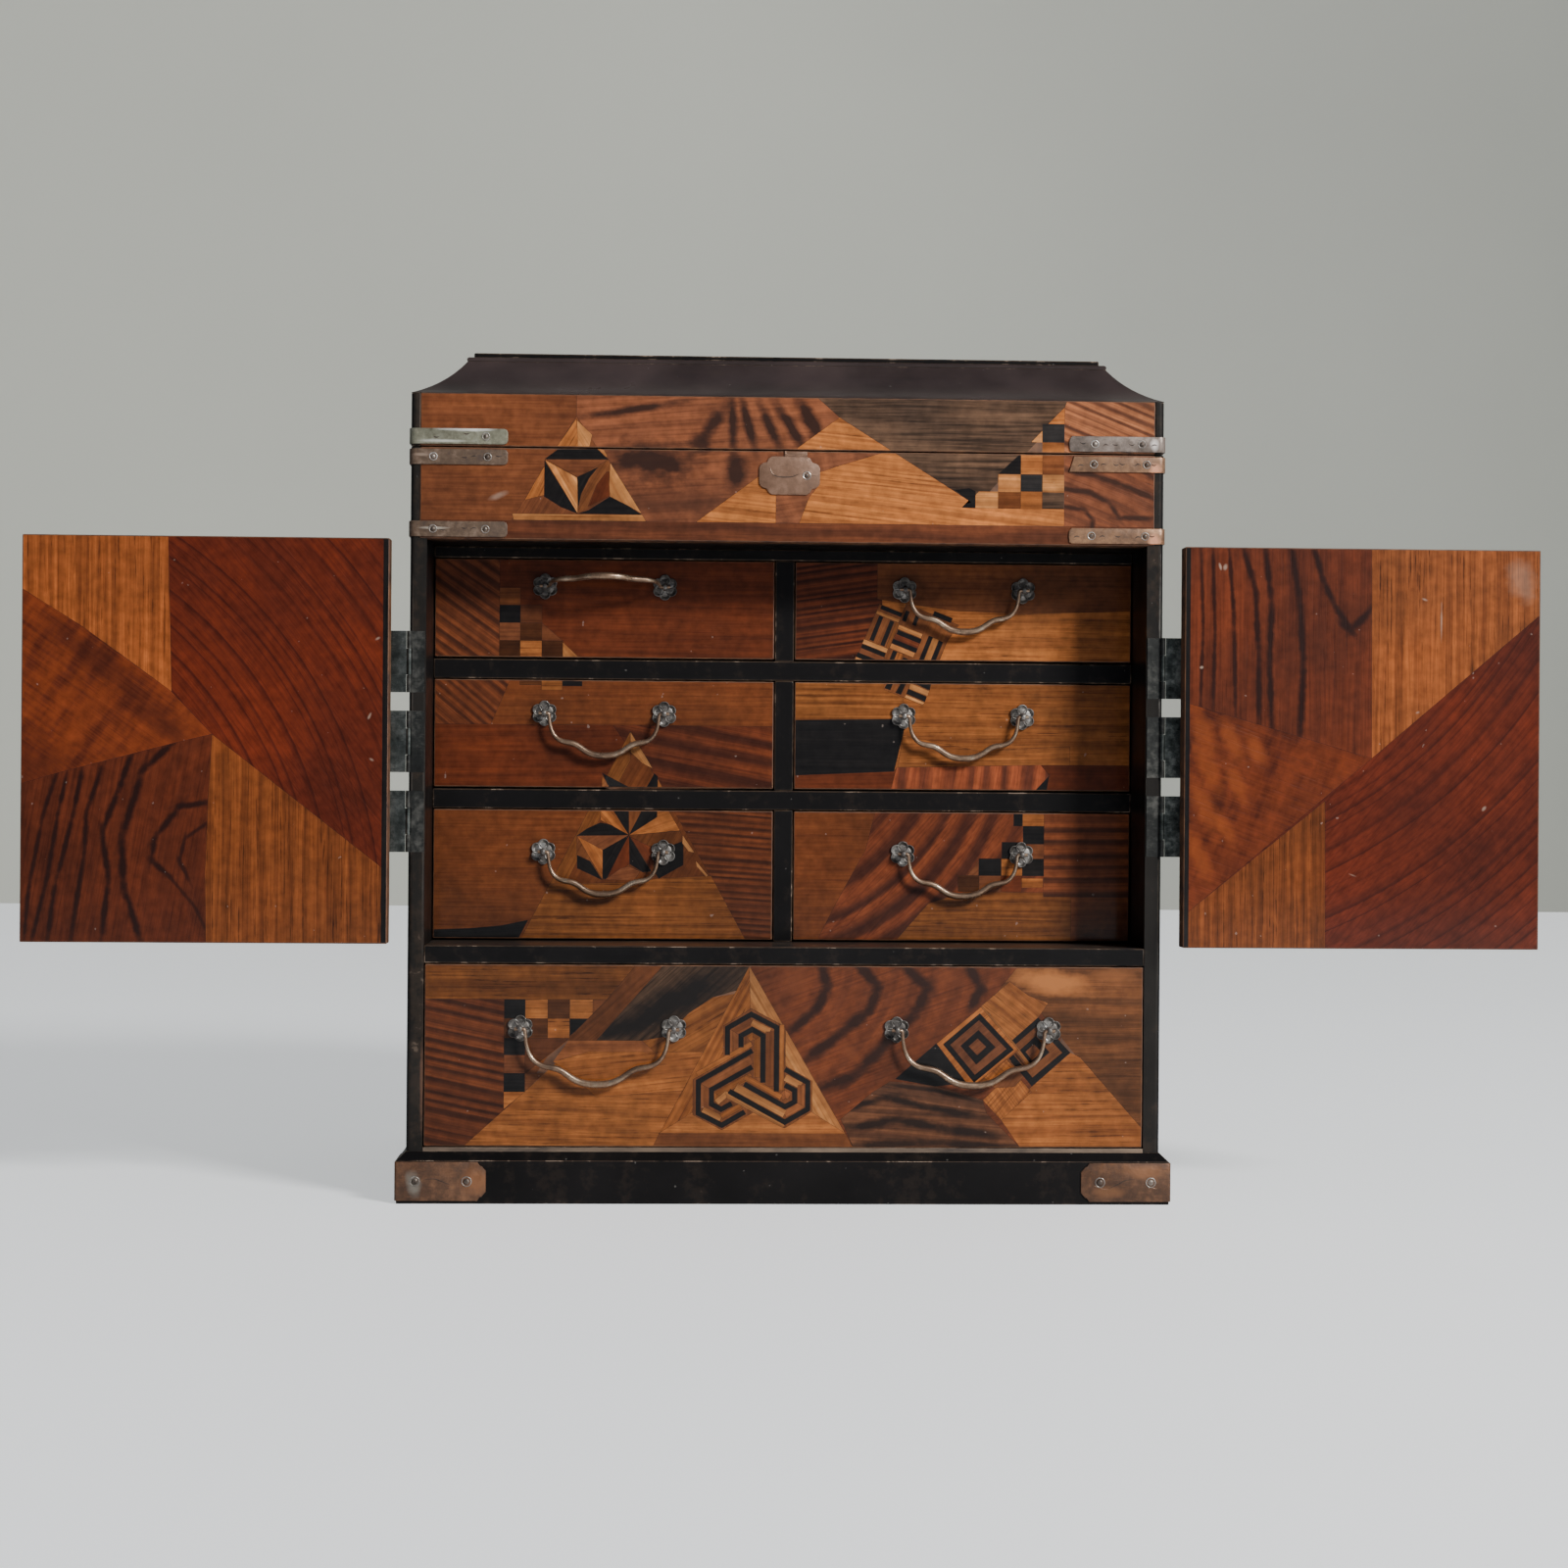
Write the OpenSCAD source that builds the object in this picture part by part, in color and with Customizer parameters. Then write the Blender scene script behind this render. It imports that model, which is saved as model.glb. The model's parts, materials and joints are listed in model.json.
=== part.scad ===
// Table-top tansu chest: plinth, two doors, seven drawers and a lidded top till.
// Sizes are in millimetres. The front faces -Y, and the doors stand open, as photographed.

/* [Carcase] */
// Width of the carcase over its side boards
body_w = 300; // [270:1:340]
// Depth of the carcase, front plane to back
body_d = 212; // [190:1:250]
// Thickness of the lacquered side boards
side_t = 6.6; // [5.6:0.1:9]
// Radius of the side boards' outer front edge
edge_r = 2; // [1:0.1:2.4]
// Thickness of the back panel
back_t = 6; // [4:0.5:9]
// Thickness of the bottom board
bottom_t = 6; // [4:0.5:9]
// Height of the bottom board's edge that shows above the plinth
bottom_show = 1.7; // [1:0.1:3]
// Thickness of the shelf between the bottom drawer and the doors
mid_shelf_t = 7.1; // [5:0.1:10]
// Thickness of the shelves between the small drawers
shelf_t = 8; // [5:0.5:10]
// Thickness of the upright partition
partition_t = 7.8; // [5:0.1:10]
// Depth from the front plane back to the small drawers
recess_d = 36; // [32:1:44]
// Height of the strip above the top drawers
head_rail_h = 4.6; // [3:0.1:8]
// Depth of that strip
head_rail_d = 12; // [8:1:20]

/* [Plinth] */
// Height of the plinth
plinth_h = 20.3; // [16:0.1:26]
// How far the plinth stands out beyond the carcase
plinth_out = 3.4; // [2:0.1:6]
// Thickness of the plinth rails
rail_t = 16; // [13:0.5:22]
// Height of the sloping top edge of the plinth
plinth_slope = 3.3; // [1.5:0.1:5]
// Hairline between the mitred plinth rails
mitre_gap = 0.05; // [0.02:0.01:0.2]

/* [Till and lid] */
// Height of the till front
till_h = 36.2; // [30:0.1:46]
// Thickness of the till front and the lid front
till_front_t = 8; // [6:0.5:11]
// Thickness of the till floor
till_floor_t = 6; // [4:0.5:9]
// Width of the lacquered corner strip beside the till front
strip_w = 3.7; // [2.6:0.1:4.6]
// Gap between the till's rim and the lid
lid_gap = 0.5; // [0.3:0.1:1.2]
// Height of the lid's upright walls
lid_wall_h = 21; // [16:0.5:28]
// Thickness of the lid's back wall
lid_back_t = 6.6; // [5:0.1:9]
// Height of the coved moulding
cove_h = 17.4; // [12:0.1:24]
// How far the cove draws in
cove_in = 21.5; // [16:0.5:28]
// Radius of the hollow in the cove
cove_r = 48; // [30:1:80]
// Height of the rounded nose at the top of the cove
cove_nose = 2.2; // [1.2:0.1:3]
// Thickness of the moulding measured inwards
cove_wall = 8.5; // [7:0.5:12]
// Thickness of the lid's top slab
slab_t = 2; // [1.5:0.1:4]
// How far the slab's edge sits in from the cove's nose
slab_in = 1.6; // [0.5:0.1:4]

/* [Doors] */
// Thickness of the doors
door_t = 9; // [7:0.5:11]
// Gap between a door and the side board
door_side_gap = 0.5; // [0.4:0.1:1.5]
// Gap between the two doors when they are shut
door_meet_gap = 0.6; // [0.4:0.1:1.5]
// Gap above and below a door
door_end_gap = 0.9; // [0.4:0.1:1.5]

/* [Drawers] */
// Height of the bottom drawer's opening
low_open_h = 72.8; // [60:0.1:90]
// Height of the lowest row's opening
row_low_h = 54; // [44:0.1:66]
// Height of the middle row's opening
row_mid_h = 45.1; // [40:0.1:56]
// Height of the top row's opening
row_top_h = 41.3; // [38:0.1:50]
// Thickness of the drawer fronts
front_t = 8; // [6.5:0.5:11]
// Thickness of the drawer sides and back
drawer_wall = 5; // [3.5:0.5:7]
// Thickness of the drawer floors
drawer_floor = 3; // [2:0.5:5]
// Gap beside and above a drawer front
front_gap = 0.4; // [0.3:0.1:1]
// Gap below a drawer front
sill_gap = 0.8; // [0.4:0.1:1.4]
// Gap between a drawer's sides and its opening
side_gap = 0.6; // [0.4:0.1:1.2]
// Gap under a drawer box, which slides on its shelf
runner_gap = 0.3; // [0.2:0.05:0.5]
// Gap above a drawer box
top_gap = 3; // [1:0.5:6]
// Gap behind a shut drawer
rear_gap = 2; // [1:0.5:5]

/* [Handles] */
// Distance between the posts of a small handle
small_span = 48.9; // [42:0.1:56]
// Drop of a small bail below its posts
small_drop = 17; // [14:0.5:20]
// Distance between the posts of a large handle
large_span = 60.8; // [54:0.1:68]
// Drop of a large bail below its posts
large_drop = 22.4; // [18:0.1:26]
// Height of the bail's shoulder as a part of its drop
shoulder_part = 0.66; // [0.5:0.01:0.8]
// Where the shoulder starts as a part of the half span
knee_part = 0.7; // [0.5:0.01:0.85]
// Wire radius at the bail's ends
wire_r = 0.75; // [0.6:0.05:1]
// Wire radius in the middle of the bail
wire_mid_r = 1.3; // [1:0.05:1.6]
// Distance of the eye from the wood
eye_off = 4.6; // [4:0.1:7]
// Radius of the eye
eye_r = 1.6; // [1.3:0.1:2]
// Width of the eye along the wire
eye_w = 2; // [1.5:0.1:3]
// Radial clearance of the wire in the eye
wire_fit = 0.06; // [0.02:0.01:0.1]
// Gap between the bail's leg and the eye
leg_gap = 0.4; // [0.2:0.1:1]
// Length of wire past the eye
wire_end = 1.4; // [0.8:0.1:2.5]
// Radius of the post's shank
shank_r = 0.95; // [0.7:0.05:1.2]
// Depth of the shank in the wood
shank_sunk = 5; // [3:0.5:5.5]
// Number of petals on a rosette
petals = 6; // [5:1:8]
// Distance of a petal's middle from the rosette's middle
petal_ring = 3.5; // [3:0.1:4.5]
// Radius of a petal
petal_r = 2.35; // [2:0.05:3]
// Height of a petal
petal_h = 1.1; // [0.6:0.1:1.6]
// Thickness of the rosette's plate
rosette_t = 0.5; // [0.3:0.1:1]
// Distance of the posts below the top of the top row's openings
top_pull_drop = 11.5; // [9:0.5:14]
// Distance of the posts below the top of the middle row's openings
mid_pull_drop = 14.1; // [10:0.1:17]
// Distance of the posts below the top of the lowest row's openings
low_pull_drop = 17.6; // [12:0.1:24]
// Distance of the posts below the top of the bottom drawer's opening
wide_pull_drop = 25.6; // [16:0.1:32]
// Distance of each large handle from the middle of the bottom drawer
wide_pull_x = 74.7; // [60:0.1:90]
// Distance of the side handles' posts below the till's rim
side_pull_drop = 41; // [30:0.5:50]
// How far the top left bail is raised in the photograph, in degrees
raised_bail = 100; // [0:5:110]

/* [Hinges] */
// Height of a door hinge
hinge_h = 24.3; // [18:0.1:30]
// Height of a door hinge's middle knuckle
mid_knuckle_h = 10.4; // [6:0.1:14]
// Radius of the hinge knuckles
knuckle_r = 1; // [0.8:0.05:1.2]
// Radius of the hinge pins
pin_r = 0.45; // [0.35:0.05:0.55]
// Radial clearance of the pin in the moving knuckles
pin_fit = 0.05; // [0.02:0.01:0.1]
// Gap between knuckles
knuckle_gap = 0.15; // [0.1:0.05:0.4]
// Thickness of the hinge leaves
leaf_t = 0.6; // [0.4:0.05:0.8]
// Gap between the two leaves of a shut hinge
leaf_gap = 0.1; // [0.05:0.05:0.3]
// Distance of the pivot in front of the front plane
pivot_out = 0.4; // [0.3:0.05:0.6]
// Length of a door hinge's leaf on the door
door_leaf_l = 14; // [8:0.5:24]
// Distance of the outer hinges' middles from the door's ends
hinge_inset = 48; // [30:1:60]
// How far the middle hinge sits above the middle of the door
hinge_shift = 0; // [-6:0.5:6]
// Width of a lid hinge
lid_hinge_w = 30; // [20:1:44]
// Height of a lid hinge's leaf
lid_leaf_h = 13; // [9:0.5:18]
// Radius of the lid hinge knuckles
lid_knuckle_r = 1.2; // [1:0.05:1.6]
// Radius of the lid hinge pins
lid_pin_r = 0.6; // [0.4:0.05:0.8]
// Distance of a lid hinge from the middle of the back
lid_hinge_x = 95; // [70:1:110]

/* [Metal trim] */
// Thickness of straps, corner plates and lock plate
trim_t = 0.7; // [0.4:0.1:1.2]
// Length of a corner strap along the front
strap_l = 39; // [28:0.5:46]
// Length of a corner strap along the side
strap_side_l = 26; // [18:0.5:40]
// Height of a corner strap
strap_h = 6.2; // [5:0.1:8]
// Distance of a strap from the edge it follows
strap_edge = 0.7; // [0.4:0.1:2]
// Length of a plinth corner plate along the front
plate_l = 36; // [26:0.5:46]
// Length of a plinth corner plate along the side
plate_side_l = 30; // [20:0.5:40]
// Height of a plinth corner plate
plate_h = 15.4; // [10:0.1:15.8]
// Distance of the plate from the floor
plate_foot = 1.2; // [0.8:0.1:3]
// Radius of the cusps cut into a plinth plate
plate_cusp = 3.4; // [2:0.1:5]
// Width of the lock plate
lock_w = 24.3; // [18:0.1:32]
// Height of the lock plate
lock_h = 15.3; // [12:0.1:20]
// Radius of the cusps at the lock plate's corners
lock_cusp = 2.2; // [1:0.1:4]
// Width of the tab on the lock plate
tab_w = 9.2; // [6:0.1:12]
// Height of the tab on the lock plate
tab_h = 2.1; // [1:0.1:4]
// How far the tab sits off the lock plate's middle
tab_shift = 2.5; // [0:0.1:5]
// Radius of a nail head
nail_r = 0.95; // [0.6:0.05:1.3]
// Height of a nail head
nail_h = 0.5; // [0.3:0.05:0.8]

/* [Hidden] */

// Smoothness of round shapes
$fn = 48;
// A cutter reaches this far past the face that it cuts
cut = 1;
// Stations along a bail, and sides of its wire
bail_steps = 30;
wire_sides = 10;

lacquer = "#1d1a19";
copper = "#8a5f45";
iron = "#3a3b3a";
bare_wood = "#b98d5f";
zelkova = "#8a4526";
camphor = "#c07a3a";
mahogany = "#6a2f1e";

// The origin is the middle of the footprint, taken with the doors open
door_reach = 2 * pivot_out + door_t;
lid_pivot_out = lid_knuckle_r;
back_reach = max(lid_pivot_out + lid_knuckle_r, plinth_out);
front_y = door_reach - (door_reach + body_d + back_reach) / 2;
back_y = front_y + body_d;
rear_y = back_y - back_t;
face_y = front_y + recess_d;
half_w = body_w / 2;
inner_w = body_w - 2 * side_t;
half_in = inner_w / 2;

// Levels, from the floor up
floor_z = plinth_h + bottom_show;
mid_z = floor_z + low_open_h;
low_z = mid_z + mid_shelf_t;
row_h = [row_top_h, row_mid_h, row_low_h];
row_z = [low_z + row_low_h + row_mid_h + 2 * shelf_t, low_z + row_low_h + shelf_t, low_z];
head_z = row_z[0] + row_top_h;
till_z = head_z + head_rail_h;
rim_z = till_z + till_h;
lid_z = rim_z + lid_gap;
cove_z = lid_z + lid_wall_h;
slab_z = cove_z + cove_h;

// Small drawers: column -1 is left, column 1 is right
open_w = (inner_w - partition_t) / 2;
drawer_x = (partition_t + open_w) / 2;
pull_drop = [top_pull_drop, mid_pull_drop, low_pull_drop];

// Doors and their pivots
door_w = (inner_w - 2 * door_side_gap - door_meet_gap) / 2;
door_z = low_z + door_end_gap;
door_h = till_z - low_z - 2 * door_end_gap;
pivot_x = half_w;
pivot_y = front_y - pivot_out;
hinge_z = [
    door_z + hinge_inset,
    door_z + door_h / 2 + hinge_shift,
    door_z + door_h - hinge_inset
];
end_knuckle_h = (hinge_h - mid_knuckle_h) / 2 - knuckle_gap;
board_leaf_in = half_w - side_t + door_side_gap;
lid_pivot_y = back_y + lid_pivot_out;
lid_pivot_z = rim_z + lid_gap / 2;
lid_end_knuckle = lid_hinge_w / 4;

// Shared pieces

// A block given by its low corner and its high corner
module block(low, high) {
    translate(low)
        cube(high - low);
}

// Plan of a right-hand side board, its outer front edge rounded
module side_plan(y0, y1) {
    difference() {
        translate([half_in, y0])
            square([side_t, y1 - y0]);
        translate([half_w - edge_r, y0 - cut])
            square([edge_r + cut, edge_r + cut]);
    }
    translate([half_w - edge_r, y0 + edge_r])
        circle(r = edge_r);
}

// One copy, or its mirror image at the left
module at_side(side) {
    mirror([side < 0 ? 1 : 0, 0, 0])
        children();
}

// A length of moulding with mitred ends, seen from the front, its outer face on y = 0
module mitred_length(length, depth, height) {
    intersection() {
        translate([-length / 2, 0, 0])
            rotate([90, 0, 90])
                linear_extrude(length)
                    children();
        translate([0, 0, -cut])
            linear_extrude(height + 2 * cut)
                polygon([
                    [-length / 2 + mitre_gap, 0],
                    [length / 2 - mitre_gap, 0],
                    [length / 2 - depth - mitre_gap, depth],
                    [-length / 2 + depth + mitre_gap, depth]
                ]);
    }
}

// Four mitred lengths that make a frame
module mitred_frame(x0, y0, x1, y1, depth, height) {
    translate([(x0 + x1) / 2, y0, 0])
        mitred_length(x1 - x0, depth, height)
            children();
    translate([(x0 + x1) / 2, y1, 0])
        rotate([0, 0, 180])
            mitred_length(x1 - x0, depth, height)
                children();
    translate([x0, (y0 + y1) / 2, 0])
        rotate([0, 0, -90])
            mitred_length(y1 - y0, depth, height)
                children();
    translate([x1, (y0 + y1) / 2, 0])
        rotate([0, 0, 90])
            mitred_length(y1 - y0, depth, height)
                children();
}

// Nail head on a face that looks along -Y
module nail() {
    rotate([90, 0, 0])
        cylinder(r1 = nail_r, r2 = nail_r * 0.6, h = nail_h);
}

// Plan of a strap that wraps a right-hand front corner
module corner_plan(x_out, y_out, r_in, front_l, side_l) {
    corner_x = x_out - r_in;
    corner_y = y_out + r_in;
    translate([x_out + trim_t - front_l, y_out - trim_t])
        square([front_l - trim_t - r_in, trim_t]);
    translate([x_out, corner_y])
        square([trim_t, side_l - trim_t - r_in]);
    intersection() {
        difference() {
            translate([corner_x, corner_y])
                circle(r = r_in + trim_t);
            translate([corner_x, corner_y])
                circle(r = r_in);
        }
        translate([corner_x, corner_y - r_in - trim_t])
            square(r_in + trim_t);
    }
}

// Carcase

module plinth_rails() {
    color(lacquer)
        difference() {
            mitred_frame(-half_w - plinth_out, front_y - plinth_out,
                half_w + plinth_out, back_y + plinth_out, rail_t, plinth_h)
                polygon([
                    [0, 0],
                    [rail_t, 0],
                    [rail_t, plinth_h],
                    [plinth_out, plinth_h],
                    [0, plinth_h - plinth_slope]
                ]);
            block([-half_in, front_y, floor_z - bottom_t], [half_in, rear_y, floor_z]);
        }
}

module bottom_board() {
    color(lacquer)
        block([-half_in, front_y, floor_z - bottom_t], [half_in, rear_y, floor_z]);
}

// Right-hand side board; the left one is its mirror image
module side_board() {
    difference() {
        translate([0, 0, plinth_h])
            linear_extrude(rim_z - plinth_h)
                side_plan(front_y, back_y);
        block([half_in - cut, front_y - cut, till_z],
            [half_w - strip_w, front_y + till_front_t, rim_z + cut]);
        for (z = hinge_z)
            translate([0, 0, z - hinge_h / 2]) {
                block([half_in - cut, front_y - cut, 0],
                    [half_w + cut, front_y + leaf_gap + leaf_t, hinge_h]);
                translate([pivot_x, pivot_y, 0])
                    cylinder(r = knuckle_r + pin_fit, h = hinge_h);
            }
        translate([half_w, side_pull_y, side_pull_z])
            rotate([0, 0, 90])
                shank_holes(small_span);
    }
}

module left_side() {
    color(lacquer)
        at_side(-1)
            side_board();
}

module right_side() {
    color(lacquer)
        side_board();
}

module back_panel() {
    color(lacquer)
        block([-half_in, rear_y, plinth_h], [half_in, back_y, rim_z]);
}

module middle_shelf() {
    color(lacquer)
        block([-half_in, front_y, mid_z], [half_in, rear_y, low_z]);
}

module row_shelf(row) {
    block([-half_in, face_y, row_z[row] - shelf_t], [half_in, rear_y, row_z[row]]);
}

module lower_shelf() {
    color(lacquer)
        row_shelf(1);
}

module upper_shelf() {
    color(lacquer)
        row_shelf(0);
}

module partition() {
    color(lacquer)
        for (row = [0:2])
            block([-partition_t / 2, face_y, row_z[row]],
                [partition_t / 2, rear_y, row_z[row] + row_h[row]]);
}

module head_rail() {
    color(lacquer)
        block([-half_in, face_y, head_z], [half_in, face_y + head_rail_d, till_z]);
}

// Till

module till_floor() {
    color(bare_wood)
        block([-half_in, front_y + till_front_t, till_z],
            [half_in, rear_y, till_z + till_floor_t]);
}

module till_front() {
    color(zelkova)
        block([strip_w - half_w, front_y, till_z],
            [half_w - strip_w, front_y + till_front_t, rim_z]);
}

// Lid

module lid_front() {
    color(zelkova)
        block([strip_w - half_w, front_y, lid_z],
            [half_w - strip_w, front_y + till_front_t, cove_z]);
}

module lid_walls() {
    color(lacquer) {
        for (side = [-1, 1])
            at_side(side)
                difference() {
                    translate([0, 0, lid_z])
                        linear_extrude(lid_wall_h)
                            side_plan(front_y, back_y);
                    block([half_in - cut, front_y - cut, lid_z - cut],
                        [half_w - strip_w, front_y + till_front_t, cove_z + cut]);
                }
        block([-half_in, back_y - lid_back_t, lid_z], [half_in, back_y, cove_z]);
    }
}

// Half the cove's chord, and the middle of the circle that hollows it
cove_rise = cove_h - cove_nose;
cove_run = cove_in - cove_nose / 2;
cove_half = sqrt(cove_run * cove_run + cove_rise * cove_rise) / 2;
cove_back = sqrt(cove_r * cove_r - cove_half * cove_half);
cove_mid = [
    cove_run / 2 - cove_back * cove_rise / (2 * cove_half),
    cove_rise / 2 + cove_back * cove_run / (2 * cove_half)
];

// Section of the moulding: a hollow under a rounded nose
module cove_profile() {
    difference() {
        polygon([
            [0, 0],
            [cove_wall, 0],
            [cove_in + cove_wall, cove_h - cove_nose],
            [cove_in + cove_wall, cove_h],
            [cove_in, cove_h],
            [cove_run, cove_rise]
        ]);
        translate(cove_mid)
            circle(r = cove_r, $fn = 160);
    }
    translate([cove_in, cove_h - cove_nose / 2])
        circle(r = cove_nose / 2);
}

module lid_cove() {
    color(lacquer)
        translate([0, 0, cove_z])
            mitred_frame(-half_w, front_y, half_w, back_y, cove_in + cove_wall, cove_h)
                cove_profile();
}

module lid_top() {
    slab_edge = cove_in + slab_in;
    color(lacquer)
        block([slab_edge - half_w, front_y + slab_edge, slab_z],
            [half_w - slab_edge, back_y - slab_edge, slab_z + slab_t]);
}

// Doors, drawn shut and swung half a turn about their pivots

module swung_open() {
    translate([pivot_x, pivot_y, 0])
        rotate([0, 0, 180])
            translate([-pivot_x, -pivot_y, 0])
                children();
}

module door_panel() {
    block([door_meet_gap / 2, front_y, door_z],
        [door_meet_gap / 2 + door_w, front_y + door_t, door_z + door_h]);
}

module door_leaves() {
    for (z = hinge_z)
        translate([0, 0, z]) {
            difference() {
                block([half_in - door_leaf_l, front_y - leaf_t, -hinge_h / 2],
                    [pivot_x, front_y, hinge_h / 2]);
                for (end = [-1, 1])
                    translate([0, 0, end * (hinge_h + mid_knuckle_h) / 4])
                        block([pivot_x - knuckle_r - knuckle_gap, front_y - 2 * leaf_t,
                            -end_knuckle_h / 2 - knuckle_gap],
                            [pivot_x + cut, front_y + cut, end_knuckle_h / 2 + knuckle_gap]);
                translate([pivot_x, pivot_y, -hinge_h / 2 - cut])
                    cylinder(r = pin_r + pin_fit, h = hinge_h + 2 * cut);
            }
            translate([pivot_x, pivot_y, -mid_knuckle_h / 2])
                knuckle(knuckle_r, mid_knuckle_h, pin_r + pin_fit);
            for (end = [-1, 1])
                translate([half_in - door_leaf_l / 2, front_y - leaf_t, end * hinge_h / 3])
                    nail();
        }
}

// A tube with its bore
module knuckle(r_out, height, r_bore) {
    difference() {
        cylinder(r = r_out, h = height);
        translate([0, 0, -cut])
            cylinder(r = r_bore, h = height + 2 * cut);
    }
}

module left_door() {
    color(mahogany)
        at_side(-1)
            swung_open()
                door_panel();
}

module right_door() {
    color(mahogany)
        swung_open()
            door_panel();
}

module left_door_leaves() {
    color(iron)
        at_side(-1)
            swung_open()
                door_leaves();
}

module right_door_leaves() {
    color(iron)
        swung_open()
            door_leaves();
}

// The leaf that stays on the side board, let into its front edge
module board_leaf() {
    for (end = [-1, 1])
        translate([pivot_x, pivot_y, end * (hinge_h - end_knuckle_h) / 2 - end_knuckle_h / 2])
            knuckle(knuckle_r, end_knuckle_h, pin_r);
    difference() {
        block([board_leaf_in, front_y + leaf_gap, -hinge_h / 2],
            [pivot_x, front_y + leaf_gap + leaf_t, hinge_h / 2]);
        block([pivot_x - knuckle_r - knuckle_gap, front_y, -mid_knuckle_h / 2 - knuckle_gap],
            [pivot_x + cut, front_y + 2 * leaf_t, mid_knuckle_h / 2 + knuckle_gap]);
        translate([pivot_x, pivot_y, -hinge_h / 2 - cut])
            cylinder(r = pin_r, h = hinge_h + 2 * cut);
    }
}

// The lid's hinges: fixed knuckles at the ends, the lid's knuckle between them
module lid_hinge_fixed() {
    difference() {
        block([-lid_hinge_w / 2, back_y, rim_z - lid_leaf_h],
            [lid_hinge_w / 2, back_y + leaf_t, lid_pivot_z]);
        lid_knuckle_bore(lid_pin_r);
        block([lid_end_knuckle - lid_hinge_w / 2 - knuckle_gap,
            back_y - cut, lid_pivot_z - lid_knuckle_r - knuckle_gap],
            [lid_hinge_w / 2 - lid_end_knuckle + knuckle_gap, back_y + cut + leaf_t, lid_z + cut]);
    }
    for (end = [-1, 1])
        lid_knuckle(end * (lid_hinge_w - lid_end_knuckle) / 2, lid_end_knuckle, lid_pin_r);
}

module lid_hinge_moving() {
    mid_l = lid_hinge_w - 2 * lid_end_knuckle - 2 * knuckle_gap;
    difference() {
        block([-lid_hinge_w / 2, back_y, lid_pivot_z],
            [lid_hinge_w / 2, back_y + leaf_t, lid_z + lid_leaf_h]);
        lid_knuckle_bore(lid_pin_r + pin_fit);
        for (end = [-1, 1])
            block([end * (lid_hinge_w - lid_end_knuckle) / 2 - lid_end_knuckle / 2 - knuckle_gap,
                back_y - cut, rim_z - cut],
                [end * (lid_hinge_w - lid_end_knuckle) / 2 + lid_end_knuckle / 2 + knuckle_gap,
                back_y + cut + leaf_t, lid_pivot_z + lid_knuckle_r + knuckle_gap]);
    }
    lid_knuckle(0, mid_l, lid_pin_r + pin_fit);
}

module lid_knuckle(x, length, r_bore) {
    translate([x - length / 2, lid_pivot_y, lid_pivot_z])
        rotate([0, 90, 0])
            knuckle(lid_knuckle_r, length, r_bore);
}

module lid_knuckle_bore(r_bore) {
    translate([-lid_hinge_w / 2 - cut, lid_pivot_y, lid_pivot_z])
        rotate([0, 90, 0])
            cylinder(r = r_bore, h = lid_hinge_w + 2 * cut);
}

module lid_hinge_leaves() {
    color(iron)
        for (side = [-1, 1])
            translate([side * lid_hinge_x, 0, 0]) {
                lid_hinge_moving();
                for (end = [-1, 1])
                    translate([end * lid_hinge_w / 3, back_y + leaf_t,
                        lid_z + lid_leaf_h * 0.7])
                        rotate([0, 0, 180])
                            nail();
            }
}

module fixed_hinge_leaves() {
    color(iron) {
        for (side = [-1, 1], z = hinge_z)
            at_side(side)
                translate([0, 0, z])
                    board_leaf();
        for (side = [-1, 1])
            translate([side * lid_hinge_x, 0, 0])
                lid_hinge_fixed();
    }
}

module hinge_pins() {
    color(iron) {
        for (side = [-1, 1], z = hinge_z)
            at_side(side)
                translate([pivot_x, pivot_y, z - hinge_h / 2])
                    cylinder(r = pin_r, h = hinge_h);
        for (side = [-1, 1])
            translate([side * lid_hinge_x - lid_hinge_w / 2, lid_pivot_y, lid_pivot_z])
                rotate([0, 90, 0])
                    cylinder(r = lid_pin_r, h = lid_hinge_w);
    }
}

// Handles

side_pull_y = (front_y + back_y) / 2;
side_pull_z = rim_z - side_pull_drop;

// Six domed petals on a small plate, against a face that looks along -Y
module rosette() {
    ball_r = (petal_r * petal_r + petal_h * petal_h) / (2 * petal_h);
    rotate([90, 0, 0])
        difference() {
            union() {
                cylinder(r = petal_ring, h = rosette_t);
                for (i = [0:petals - 1])
                    rotate([0, 0, i * 360 / petals + 90])
                        translate([petal_ring, 0, 0])
                            intersection() {
                                translate([0, 0, petal_h - ball_r])
                                    sphere(r = ball_r);
                                cylinder(r = petal_r + cut, h = petal_h + cut);
                            }
            }
            translate([0, 0, -cut])
                cylinder(r = shank_r, h = petal_h + 2 * cut);
        }
}

// A shank sunk in the wood, with an eye for the wire
module eye_post() {
    difference() {
        union() {
            rotate([90, 0, 0])
                translate([0, 0, -shank_sunk])
                    cylinder(r = shank_r, h = shank_sunk + eye_off);
            translate([-eye_w / 2, -eye_off, 0])
                rotate([0, 90, 0])
                    cylinder(r = eye_r, h = eye_w);
        }
        translate([-eye_w / 2 - cut, -eye_off, 0])
            rotate([0, 90, 0])
                cylinder(r = wire_r + wire_fit, h = eye_w + 2 * cut);
    }
}

module handle_mounts(span) {
    for (end = [-1, 1])
        translate([end * span / 2, 0, 0]) {
            color(iron)
                rosette();
            color(copper)
                eye_post();
        }
}

module shank_holes(span) {
    for (end = [-1, 1])
        translate([end * span / 2, shank_sunk, 0])
            rotate([90, 0, 0])
                cylinder(r = shank_r, h = shank_sunk + cut);
}

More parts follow.
